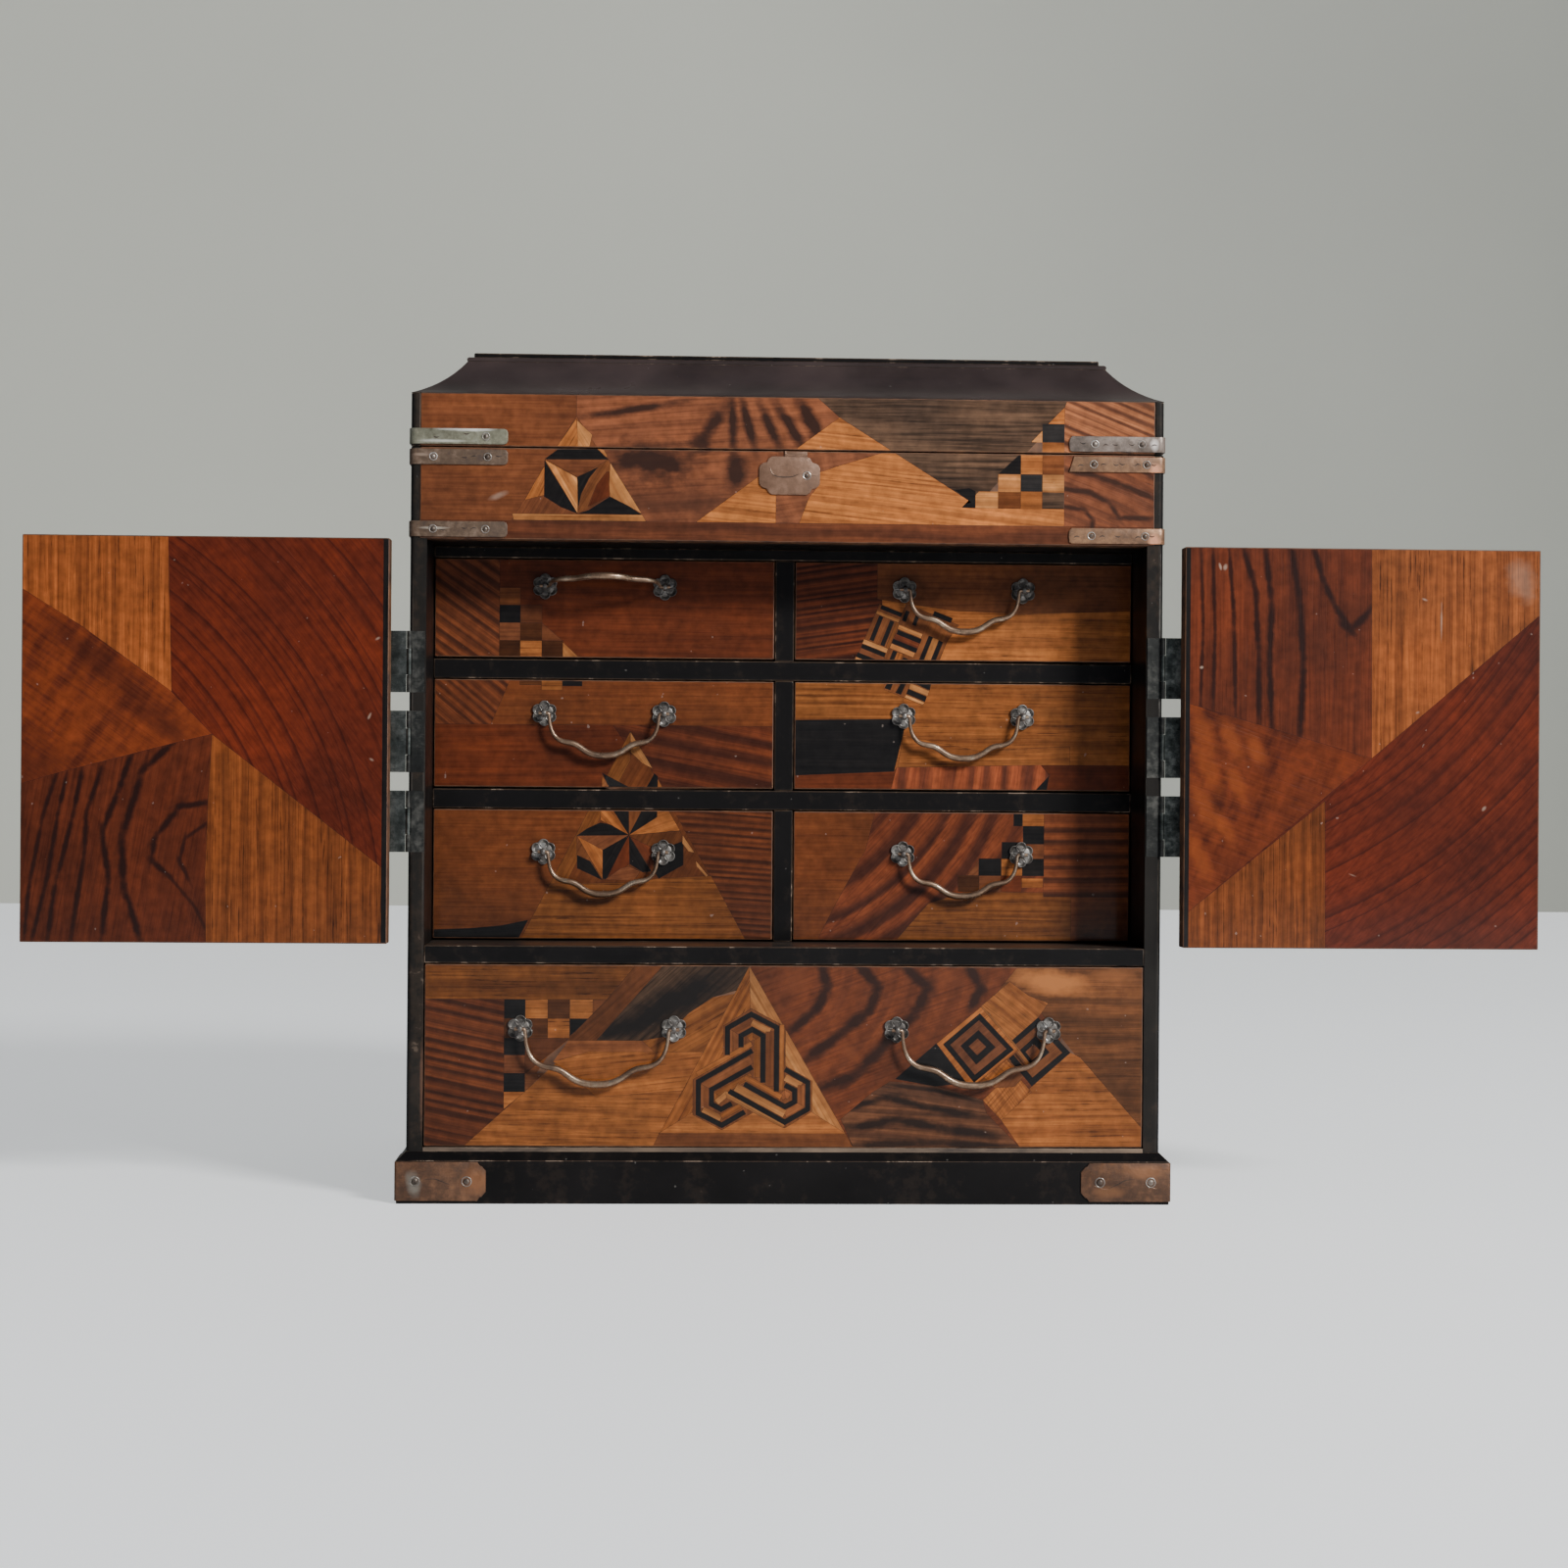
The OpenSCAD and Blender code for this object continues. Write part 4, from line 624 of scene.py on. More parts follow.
LEFT_COLUMN = veneers("""
russet 0 square -143.2 -4 191 258.2 tone 1.05
zelkova -35 square -143.2 -116.7 217 258.2 tone 0.95 straight -35 4.2
walnut 0 square -116.7 -108.2 239.1 246.2
black 0 square -116.7 -108.2 231.9 239.1
honey 0 square -108.2 -99.4 231.9 239.1 tone 0.7
honey 0 square -116.7 -108.2 224.6 231.9
walnut 0 square -108.2 -99.4 224.6 231.9 tone 0.45
honey 0 cut -99.4 224.6 -90.8 224.6 -99.4 231.9 tone 0.8
walnut 0 square -116.7 -108.2 217 224.6 tone 0.3
cedar 0 square -108.2 -99.4 217 224.6 tone 1.1
walnut 0 square -99.4 -90.8 217 224.6 tone 0.3
straw -50 cut -90.8 224.1 -90.8 217 -83.3 217 tone 0.7
# Second row
katsura 0 square -143.2 -4 190.3 209 tone 0.95
zelkova -40 cut -143.2 209 -112 209 -120 190.3 -143.2 190.3 tone 0.95 straight -40 3.4
walnut 0 square -108.2 -99.4 206.5 209 tone 0.5
cedar 0 square -99.4 -90.9 204.5 209 tone 0.7
black 0 square -90.9 -82.8 206.2 209
russet 0 square -143.2 -60 155 190.3 tone 0.95
quince -10 cut -70 190.3 -4 190.3 -4 155 -45 155 tone 0.85 bands 60 -40 -12 700 8
# The tall triangle over the second and third rows
katsura 0 square -143.2 -70 102 156.2 tone 0.9
zelkova -3 cut -50 156.2 -4 156.2 -4 102 -60 102 tone 0.8 straight -4 2.6
katsura 60 cut -63 187.7 -107.4 102 -14.8 102 tone 0.8
cedar 62 cut -63 187.7 -107.4 102 -101 102 -62.8 176 tone 0.6
straw -58 cut -62.9 187.7 -53.7 172.6 -58 174.8 -62.8 179.3 tone 0.75
black -40 cut -74.4 170.7 -62 164.2 -71 164.2
cedar 50 cut -74.4 170 -71 164.2 -74.4 164.2 tone 0.8
black 70 cut -53 170.6 -51.6 169.5 -51.6 164.2 -56.5 164.2
cedar 60 cut -51.6 168.5 -51.6 164.2 -49.2 164.2 tone 0.9
# Third row: the six-armed star
cedar 0 cut -95.5 125 -107.4 102 -14.8 102 -29.5 129 -50.8 127.6 -62 126 tone 0.58 straight 0 3.4
walnut 60 cut -84.5 145 -63.2 145.3 -72 127.4 -74.1 126.9 -84.3 131.6
black -35 cut -84.4 137 -84.3 131.6 -74.1 126.9 -79 134.5
walnut 60 cut -63.2 145.3 -42.2 147.2 -40.9 143 -40.9 133.2 -50.8 127.6 -62.8 132.3 tone 0.6
black 20 cut -53 130.6 -50.8 127.6 -40.9 133.2 -40.9 143 -52.5 138.5
walnut 80 cut -63.2 145.3 -63.4 156.2 -57.6 156.2
black -60 cut -63.2 145.3 -70.2 156.2 -63.4 156.2
black 60 cut -63.2 145.3 -57.6 156.2 -51.8 156.2 -51.8 152.7
cedar -50 cut -63.2 145.3 -74.8 151.4 -74.8 156.2 -70.2 156.2 tone 0.85
black 5 cut -63.2 145.3 -84.5 144.9 -80.3 147.9 -75 150.3 -71 149.6
cedar 20 cut -63.2 145.3 -51.8 152.7 -51.8 156.2 -47.5 156.2 -42.3 147.3 tone 0.95
honey 30 cut -63.2 145.3 -84.5 144.9 -73.9 139.1 tone 1.2
cedar -60 cut -84.4 144.8 -73.9 139.1 -73.9 127.2 tone 1.05
black 60 cut -63.2 145.3 -73.9 139.1 -73.9 127.4 -72.3 127.2 -67 138
russet 70 cut -63.2 145.3 -67 138 -72.3 127.2 -62.9 133.5 tone 1.2
black -60 cut -63.2 145.3 -62.9 133.5 -57.5 130.2 -54 130.5
quince -60 cut -62.6 144.6 -54 131 -52.6 136.5 -53.2 140
honey 10 cut -73 127 -66.5 131.7 -62.8 132.4 -58.5 130.4 -61 126.8 tone 1.2
straw -52 cut -41.2 145.5 -36.3 138.2 -38.8 138.8 -41.3 142 tone 0.75
straw -50 cut -35.8 135 -30.8 129 -31.4 128.3 -35.4 132.6 tone 0.75
black 3 cut -143.2 102 -143.2 106.2 -128 106.8 -115 108 -104.2 110.3 -108.5 102
""")

# A darker walnut band over the top of the row, its lower edge along the line of the lid's shadow: painted shade on
# the top drawer.
# Its tone is raised to lift it out of the right side board's shadow: painted light.
RIGHT_COLUMN = veneers("""
quince 8 square 4 60 217 258.2 tone 0.7 straight 8 2.8
cedar 0 cut 40 258.2 143.2 258.2 143.2 217 29 217 40 240.8 tone 0.98 straight 1 8
walnut 0 cut 38 258.2 143.2 258.2 143.2 239 100 237.5 70 238.5 38 243 tone 0.86 straight 1 8
# The tilted basket weave
walnut 68 tilted -2.5 -14 31.5 -14 31.5 12 33.5 20 10 20 10 15.8 -0.2 15.8 -0.6 -6
black bar 0.9 10 14.1 15.8
straw bar 0 10 11.6 12.9 tone 0.6
black bar 1.6 3.3 0.6 11.3
black bar 6.5 8.2 0.3 11.2
cedar bar 9 10.4 0 11.5 tone 0.6
straw bar -0.6 10 -1.9 0 tone 0.75
black bar -0.5 9.8 -3.8 -2.1
honey bar -0.5 10 -6 -3.8
black bar -1 9.5 -8 -6.1
straw bar -1 9.5 -10 -8 tone 0.8
straw bar 10.5 21 9.1 11 tone 0.8
black bar 11 21.4 6.9 8.8
quince bar 10.8 21.2 4.6 6.9
black bar 10.5 21.3 2.8 4.6
straw bar 10.5 21 0.6 2.6 tone 0.75
black bar 23.6 25.4 -12 11.3
straw bar 25.4 28.1 -12 11.3 tone 0.55
black bar 28.2 30 -12 11
black bar 12.2 14 -12 0.2
cedar bar 14 17 -12 0.2 tone 0.7
black bar 17.2 19 -12 -0.9
black bar 22 30 19.6 21.6
black bar 11 12.6 13 17.5
black bar 15.5 17 13 17
# Second row
cedar 0 square 4 143.2 164.2 212 tone 0.68 straight -1 9
cedar 0 cut 4 212 47 212 50.5 193.5 4 193 tone 0.6 straight 0 3.4
cedar 0 cut 49 187 47 174 106 175.3 118 175.3 118 183 80 181 tone 0.8 straight 2 3
walnut 68 cut 41 212 61 212 57 199.5 49.5 202.5 41 205.8
black 68 cut 42.8 209 45 209 43.6 205.6 41.2 206.4
black 68 cut 48.3 209 50.4 209 48 203.8 45.8 204.6
black -22 cut 52.4 209 60.5 209 59.9 205.7
straw -22 cut 52 208.6 59.7 205.4 59 203.3 51.4 206.2 tone 0.7
black -22 cut 51 206.2 58.7 203 58 201 50.3 204.2
straw -22 cut 50.2 203.8 57.8 200.6 57 199.6 49.5 202.6 tone 0.8
black 0 cut 4 193 50.5 193.8 45.4 172.2 4 170.3
russet 0 cut 4 170.3 45.4 172.2 46.5 173.8 46 164.2 4 164.2 tone 1.15
quince 80 cut 46.5 173.8 106 175.3 110 170.8 103.5 164.2 44 164.2 tone 1.9 bands -40 169 86 900 8.5
russet 0 cut 106 175.3 143.2 175.3 143.2 164.2 103.3 164.2 110 170.8
black 50 cut 103.3 164.2 109.5 170.8 108.4 164.2
# Third row
quince 48 square 4 108 102 156.2 tone 1.2 bands -14 196 0 10.5 10.5
katsura 0 cut 4 156.2 38 156.2 34 140 22 118 14 102 4 102 tone 0.95
cedar 0 cut 46 102 60 118 75 122.8 107.5 122.8 119 121 119 102 tone 0.5 straight 0 3.2
zelkova 0 square 107.5 143.2 121 156.2 tone 1.25 straight 0 5
katsura 0 cut 119 121 143.2 121 143.2 102 119 102 tone 1.15 straight 0 5
cedar 0 square 98.7 107.6 150.1 156.2 tone 0.85
black 0 square 95 98.7 150.1 156.2
black 0 square 98.9 107.6 142.7 150.1
black 0 square 90.2 98.7 136.6 143.4
honey 0 square 98.7 107.6 136.6 142.7 tone 0.8
black 0 square 80.7 90 129.6 136.6
cedar 0 square 90 98.7 129.6 136.6 tone 0.8
black 0 square 98.7 107.6 129.6 136.6
walnut 0 square 72.2 80.9 123 129.6 tone 0.35
honey 0 square 80.9 90 123 129.6
russet 0 square 90 98.5 123 129.6
cedar 0 square 98.5 107.3 124.8 128.6 tone 0.8
honey 40 cut 76 129.6 80.7 129.6 80.7 136 tone 0.9
""")

WIDE = veneers("""
zelkova -12 square -143.3 -100 22 95 tone 0.72 straight -12 3.9
walnut 0 cut -111.5 80.6 -66 80.6 -86 64.5 -94.3 58 -103.3 44 -111.5 37.2
cedar 0 cut -143.3 95 -59 95 -70.3 80.6 -143.3 80.6 tone 0.4 straight 0 9
cedar 0 cut -127.6 22 -103.3 44 -94.3 52.3 -86 60 -28 60 -44 22 tone 0.82 bands -40 -90 -5 260 8
cedar 6 cut -75 42 -36 45 -28 60 -78 59.5 -92 56 -84 50 tone 0.82 straight 6 30
walnut 0 cut -86 64.4 -57 64.4 -50 60 -78 60 -92 56 tone 1.3
cedar 30 cut -57 64.4 -48 66 -38 75.7 -29 81.7 -10 84.8 -26 60 -52 60 tone 0.6
# Chequers
black 0 square -111.5 -103.2 73 80.6
cedar 0 square -103.2 -94.3 73 80.6 tone 0.85
walnut 0 square -94.3 -85.6 73 80.6 tone 0.5
cedar 0 square -85.6 -76.5 73 80.6 tone 0.95
walnut 0 square -111.5 -103.2 65.2 73 tone 0.4
walnut 0 square -103.2 -94.3 65.2 73 tone 0.5
cedar 0 square -94.3 -85.6 65.2 73 tone 0.9
black 0 cut -85.6 72.9 -78.3 72.9 -85.6 66
black 0 square -111.5 -103.2 58.5 65.2
honey 0 cut -103.2 65.2 -86 65.2 -103.2 51 tone 0.6
honey 0 square -111.5 -103.2 51.3 58.5 tone 0.9
black 0 square -111.5 -103.2 43.9 51.3
walnut 0 cut -103.2 51.3 -95.5 51.3 -103.2 44
cedar 0 cut -111.5 43.9 -103.2 43.9 -111.5 37
# Bog oak
bog 42 cut -86.8 64.4 -71 80.6 -59 95 -14.2 95 -18.4 84.8 -29 81.7 -38 75.7 -48 66 -57 64.4 tone 0.5 bands -300 300
    42 2000 90
walnut 42 cut -86.8 64.4 -71 80.6 -59 95 -48 95 -75 64.4 tone 0.62 bands -300 300 42 2000 60
# Cathedral zelkova at the right of the triangle
cathedral 20 square -14 110 22 95 bands -34 97 0 9 7
brindle -8 cut 34.5 43.8 42 48.5 60 46.8 79 41.2 80.5 36 48 41.2 tone 1.2
brindle -4 cut 27.5 22 22.4 33.5 34.5 43.8 48 41.2 80.5 36 94.4 22 tone 1 bands 50 250 -4 300 7
black 0 cut 60.2 63.7 73.8 48.2 60 46.6 44 49.5
# The right-hand boards
ash 0 cut 84 83.5 93 95 143.3 95 143.3 29.5 117 58 99 80 tone 0.95 bands 110 160 0 60 9
cedar -38 cut 78 78.5 89.5 88.5 97 83 105 80 101 74.2 90.3 64.8 tone 0.85 straight -38 7
cedar 0 cut 86.3 33.4 98.6 46.8 114 60.2 118 58.3 143.3 29.6 143.3 22 94.3 22 tone 0.88 bands 110 -60 0 500 5.4
cedar 50 cut 79 41.2 86.4 33.2 98.6 44.5 91.5 52.3 84 46 tone 0.92 straight -55 1.6
walnut 50 cut 76 49 93 60.7 98.6 54 91.5 46.5 84 46
cedar -40 cut 78 51.5 88 58 91.5 54 82.5 47.5 tone 0.9 straight 50 2.2
black 50 cut 90.2 56.5 92.5 58.4 95.2 54.6 92.9 53.4
black 40 cut 101 74.3 114 60.2 98.7 46.7 86.5 61.3
walnut 40 cut 100.6 71 110.8 60.2 98.9 50.2 89.5 61.3
black 40 cut 100 66.8 105.6 60.3 98.5 54.3 93.6 61
honey 40 cut 99.3 63.7 102.6 60.3 98.6 57.1 96 60.5
straw ribbon 1.3 78 78.2 90.5 64.3 98.3 54.3 tone 0.72
walnut ribbon 0.7 79.5 75.5 96.5 54 tone 0.4
cedar 40 cut 78 78.3 93.3 61 74 46 60.4 63.6
black 40 cut 77.6 75.8 91.3 61.3 75.5 48.2 63 63.4
honey 40 cut 77.3 73.1 88.4 61.6 75.8 51.2 65.8 63.2
black 40 cut 77.1 69.1 84 62.3 76.3 55.4 70 62.8
honey 40 cut 76.8 65.8 80.3 62.4 76.7 59 73.2 62.6
# The mitred triangle
cedar 62 cut -14.5 94.2 -52.6 22 -13 51 tone 0.66 straight 62 5
straw -60 cut -14.5 94.2 -13 51 27.5 22 tone 0.72 straight -60 5
cedar 0 cut -50 27.6 -13 51 24.5 27.6 tone 0.95 straight 0 5
walnut 0 cut -52.6 22 27.5 22 24.4 27.6 -49.8 27.6 tone 0.9
# The interlaced three-armed hexagon figure
walnut 90 cut -24.6 70.4 -13.6 77.4 -1.6 71 0.1 69.6 0.1 54.6 10.8 48.6 10.8 36.4 0 29.8 -12.5 36 -25 29 -36.6 35
    -36.6 49 -24.6 56.5
cedar ribbon 1.9 -1.3 71 -1.3 44.8 tone 0.72
walnut ribbon 3.6 -20.3 59 -20.3 68 -13.4 71.8 tone 1.15
straw ribbon 2.6 -13.4 71.8 -6.1 68.2 tone 0.75
walnut ribbon 3.2 -6.1 68.2 -6.1 46.3 tone 0.85
cedar ribbon 2.6 -14.6 65.2 -13 66.6 -11.2 65.4 -11.2 50 tone 0.62
cedar ribbon 2 -13.4 63.4 -35 51.1 tone 0.7
walnut ribbon 3.3 -13.4 57 -31.8 46.4 -31.8 37.6 tone 1.1
straw ribbon 2.4 -32.6 37.2 -25.3 33.6 tone 0.75
cedar ribbon 2.3 -25.3 34.2 -17.5 38.6 tone 0.7
cedar ribbon 2.6 -13.4 50.8 -27 43.2 -27 40.2 tone 0.55
straw ribbon 2.7 0 50 6.5 46.7 tone 0.78
walnut ribbon 2.8 6.5 46.9 6.5 39 0 35.3 tone 1.2
straw ribbon 3.1 0 35.5 -19.6 46.1 tone 0.72
straw ribbon 2.4 0 30.9 -23.4 43.2 -27.2 40 tone 0.7
walnut ribbon 2.6 -1.6 42 0 43.4 1.8 42.4 tone 1.3
cedar ribbon 2.2 -1.4 42.2 -16 50.2 tone 0.7
black ribbon 2 -23 58.8 -23 69.5 -13.6 75 -3.4 69.8 -3.4 44.4
black ribbon 2 -17.6 61.9 -17.6 66.5 -13.2 69 -8.8 66.5 -8.8 47.9
black ribbon 2 -13.1 60.6 -34.4 48.2 -34.4 35.6 -25 30.9 -16 36.2
black ribbon 2 -13.1 54.1 -29.2 45 -29.2 39.3 -25.3 37.2 -21.2 39.5
black ribbon 2 0 53.2 9.1 48 9.1 37.4 0 32.2 -22.2 44.4
black ribbon 2 0 46.9 3.9 44.9 3.9 40.3 0 38.3 -16.2 47.3
""")

LEFT_DOOR = veneers("""
mahogany -52 square -300 -157 102 263 tone 0.98 bands -340 112 0 5.6 5.6
door_cedar 90 cut -300 263 -243.2 263 -241.5 201 -262 216 -300 240 tone 0.74 straight 90 5
curly -35 cut -300 241 -276 226 -258 213 -241.5 201 -225.7 184.5 -240 181 -262 175 -285 169 -300 164.5 tone 0.95
veined 80 cut -300 164.5 -285 169 -262 175 -240 181 -225.7 184.5 -227 160 -228 130 -227.5 102 -300 102 tone 0.86
    bands -222 128 0 9 17
door_cedar 90 cut -225.7 184.5 -157 131 -157 102 -227.5 102 -228 130 -227 160 tone 0.56 straight 90 6
black 90 square -159.4 -150 102 263
""")

RIGHT_DOOR = veneers("""
mahogany 52 square 157 300 102 263 tone 0.92 bands 120 330 0 5.6 5.6
veined 90 cut 157 263 231.6 263 232.2 178.6 157 200.4 tone 0.92 straight 88 9
door_cedar 90 cut 231.6 263 300 263 300 236.6 232.2 178.6 tone 0.62 straight 90 6
curly -20 cut 157 200.4 232.2 178.6 157 115.4 tone 0.7
door_cedar 90 cut 157 115.4 213.6 161.6 214 102 157 102 tone 0.4 straight 90 6
black 90 square 150 159.2 102 263
""")


def mirrored(design):
    """The same design turned over like a book page."""
    out = []
    for wood, angle, outline, more in design:
        more = dict(more)
        if "bands" in more:
            cx, cz, turn, along, across = more["bands"]
            more["bands"] = (-cx, cz, -turn, along, across)
        out.append((wood, -angle, [-c if k % 2 == 0 else c for k, c in enumerate(outline)], more))
    return out


# Laying the veneers. A front's slots are all the woods, then the glue line and the worn edge.

GLUE_SLOT, EDGE_SLOT = len(WOOD_ORDER), len(WOOD_ORDER) + 1
SLACK, SHORTEST = 4e-6, 1.5e-5


def crossed(face, a, b, n):
    """True where the cut from a to b passes through the inside of this face."""
    flat = [(v.co.x, v.co.z) for v in face.verts]
    xs, zs = zip(*flat)
    if max(xs) < min(a.x, b.x) or min(xs) > max(a.x, b.x) or max(zs) < min(a.y, b.y) or min(zs) > max(a.y, b.y):
        return False
    off = [(x - a.x) * n.x + (z - a.y) * n.y for x, z in flat]
    if max(off) < SLACK or min(off) > -SLACK:
        return False
    d = b - a
    along = []
    for k in range(len(flat)):
        o1, o2 = off[k - 1], off[k]
        if (o1 > 0) != (o2 > 0):
            t = o1 / (o1 - o2)
            x = flat[k - 1][0] + t * (flat[k][0] - flat[k - 1][0])
            z = flat[k - 1][1] + t * (flat[k][1] - flat[k - 1][1])
            along.append(((x - a.x) * d.x + (z - a.y) * d.y) / d.length)
    return len(along) > 1 and min(max(along), d.length) - max(min(along), 0.0) > SHORTEST


def within(p, corners):
    inside = False
    for a, b in zip(corners, corners[1:] + corners[:1]):
        if (a.y > p.z) != (b.y > p.z) and p.x < (b.x - a.x) * (p.z - a.y) / (b.y - a.y) + a.x:
            inside = not inside
    return inside


def on_side(face, side):
    return face.normal.y * side > 0.95


def tagged(piece):
    """The open mesh, and the layer that holds the number of each face's piece of veneer."""
    mesh = bmesh.from_edit_mesh(piece.data)
    return mesh, mesh.faces.layers.int.get("piece") or mesh.faces.layers.int.new("piece")


def saw_along(piece, a, b, side):
    """One straight saw cut from a to b through the veneer."""
    n = Vector((a.y - b.y, b.x - a.x)).normalized()
    mesh = bmesh.from_edit_mesh(piece.data)
    hit = [f for f in mesh.faces if on_side(f, side) and crossed(f, a, b, n)]
    if not hit:
        return
    pick("DESELECT")
    for f in hit:
        f.select_set(True)
    bpy.ops.mesh.bisect(plane_co=(a.x, 0, a.y), plane_no=(n.x, 0, n.y), threshold=1e-6)


def lay_veneers(piece, design, side=-1, first=1):
    """Saws the design into one face of a board and gives each piece its wood."""
    open_mesh(piece)
    low, high = bounds_of(piece)
    for number, (wood, angle, outline, more) in enumerate(design, first):
        corners = [Vector((x * MM, z * MM)) for x, z in zip(outline[::2], outline[1::2])]
        if max(c.x for c in corners) <= low.x or min(c.x for c in corners) >= high.x:
            continue
        if max(c.y for c in corners) <= low.z or min(c.y for c in corners) >= high.z:
            continue
        for a, b in zip(corners, corners[1:] + corners[:1]):
            if (b - a).length > 1e-6:
                saw_along(piece, a, b, side)
        mesh, tag = tagged(piece)
        for f in mesh.faces:
            if on_side(f, side) and within(f.calc_center_median(), corners):
                f[tag] = number
                f.material_index = WOOD_ORDER.index(wood)
    close_mesh()


def join_offcuts(piece):
    """Takes out the cuts inside a piece and runs a thin glue line between the pieces."""
    open_mesh(piece)
    bpy.ops.mesh.remove_doubles(threshold=0.00008)
    mesh, tag = tagged(piece)
    for e in mesh.edges:
        e.seam = len({f[tag] for f in e.link_faces}) > 1
    pick()
    bpy.ops.mesh.dissolve_limited(angle_limit=math.radians(1), delimit={"SEAM"})
    pick()
    bpy.ops.mesh.vert_connect_concave()
    pick("DESELECT", "EDGE")
    mesh, tag = tagged(piece)
    for e in mesh.edges:
        if len(e.link_faces) == 2:
            one, other = (f[tag] for f in e.link_faces)
            e.select_set(one != other and one > 0 and other > 0)
    bpy.ops.mesh.bevel(offset=0.05 * MM, segments=1, affect="EDGES", clamp_overlap=False, material=GLUE_SLOT)
    bpy.ops.mesh.select_mode(type="FACE")
    close_mesh()


def turned(x, z, angle):
    a = math.radians(angle)
    return x * math.cos(a) + z * math.sin(a), z * math.cos(a) - x * math.sin(a)


def chance(number, salt):
    """A steady pseudo-random value from 0 to 1."""
    return (math.sin(number * 12.9898 + salt * 78.233) * 43758.5453) % 1.0


def mark_grain(piece, design, salt):
    """Writes each piece's grain direction, its growth bands and its tone."""
    mesh = piece.data
    mesh.uv_layers[0].name = "grain"
    mesh.uv_layers.new(name="figure")
    mesh.color_attributes.new("tone", "FLOAT_COLOR", "CORNER")
    grain, figure = mesh.uv_layers["grain"].data, mesh.uv_layers["figure"].data
    tone, tags = mesh.color_attributes["tone"].data, mesh.attributes["piece"].data
    for face in mesh.polygons:
        number = tags[face.index].value
        _, angle, _, more = design[number - 1] if number else (None, 0, None, {})
        jitter = 5 * (chance(number, salt) - 0.5)
        cx, cz, turn, along, across = more.get("bands") or straight(angle + jitter, 6.5)
        shade = more.get("tone", 1.0) * (0.94 + 0.12 * chance(number, salt + 5))
        warm = 0.97 + 0.06 * chance(number, salt + 9)
        for k in face.loop_indices:
            co = mesh.vertices[mesh.loops[k].vertex_index].co
            x, z = co.x / MM, co.z / MM
            u, v = turned(x, z, angle)
            grain[k].uv = (u * MM + chance(number, 1) * 3, v * MM + chance(number, 2) * 3)
            u, v = turned(x - cx, z - cz, turn)
            figure[k].uv = (u / along, v / across)
            tone[k].color = (shade * warm, shade, shade / warm, 1)


def plank(name, edge=0.4):
    """A board the size of the CAD one, its edges eased by hand."""
    low, high = (Vector(c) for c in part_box(name))
    drop_all()
    bpy.ops.mesh.primitive_cube_add(size=1, location=(low + high) / 2, scale=high - low)
    piece = settle(bpy.context.object, name + "_veneered")
    give(piece, *[WOODS[w] for w in WOOD_ORDER], GLUE, EDGE_WOOD)
    mesh = open_mesh(piece)
    for f in mesh.faces:
        f.material_index = EDGE_SLOT
    pick("SELECT", "EDGE")
    bpy.ops.mesh.bevel(offset=edge * MM, segments=2, affect="EDGES", material=EDGE_SLOT)
    bpy.ops.mesh.select_mode(type="FACE")
    close_mesh()
    return piece


def veneered(name, salt, design, outside=()):
    """A board with veneer on its front, and on its back too if there is a design for that."""
    piece = plank(name)
    lay_veneers(piece, design)
    lay_veneers(piece, outside, 1, len(design) + 1)
    join_offcuts(piece)
    mark_grain(piece, [*design, *outside], salt)
    fit(piece, name)


veneered("lid_front", 1, LID_AND_TILL)
veneered("till_front", 1, LID_AND_TILL)
for row in ("top", "middle", "lower"):
    veneered(row + "_left_front", 2, LEFT_COLUMN)
    veneered(row + "_right_front", 3, RIGHT_COLUMN)
veneered("wide_front", 4, WIDE)
veneered("left_door", 5, LEFT_DOOR, mirrored(RIGHT_DOOR))
veneered("right_door", 6, RIGHT_DOOR, mirrored(LEFT_DOOR))


# The other pieces take the CAD shape, with eased edges

FORWARD, UP = Vector((0, -1, 0)), Vector((0, 0, 1))


def eased(name, *finishes, edge, limit=35, facing=None):
    """Copies a CAD node, joins its loose triangles, rounds its sharp edges and gives it its finishes: all round,
    on the rounded edges, and on the faces that look one way."""
    take(bpy.data.objects[name])
    bpy.ops.object.duplicate()
    piece = bpy.context.object
    piece.name = piece.data.name = name + "_finished"
    give(piece, *finishes)
    open_mesh(piece, "VERT")
    bpy.ops.mesh.remove_doubles(threshold=2e-6)
    bpy.ops.mesh.dissolve_limited(angle_limit=math.radians(0.6))
    close_mesh()
    smooth(piece)
    tool(piece, "BEVEL", width=edge * MM, segments=2, limit_method="ANGLE", angle_limit=math.radians(limit),
         harden_normals=True, material=1 if len(finishes) > 1 else -1, use_clamp_overlap=True)
    tool(piece, "WEIGHTED_NORMAL", mode="FACE_AREA", weight=100, keep_sharp=True)
    fit(piece, name)
    for face in piece.data.polygons:
        if facing and face.normal.dot(facing) > 0.8:
            face.material_index = 2


def rubbed(piece, gain, base=0.0):
    """Marks where a curved metal piece stands proud, so that it shines there."""
    mesh = piece.data
    around = {v.index: [] for v in mesh.vertices}
    for a, b in (e.vertices for e in mesh.edges):
        around[a].append(b)
        around[b].append(a)
    wear = mesh.attributes.new("wear", "FLOAT", "POINT")
    for v in mesh.vertices:
        swell = [(v.co - mesh.vertices[k].co).normalized().dot(v.normal) for k in around[v.index]]
        wear.data[v.index].value = max(0.0, min(1.0, base + gain * sum(swell) / max(1, len(swell))))
    return piece


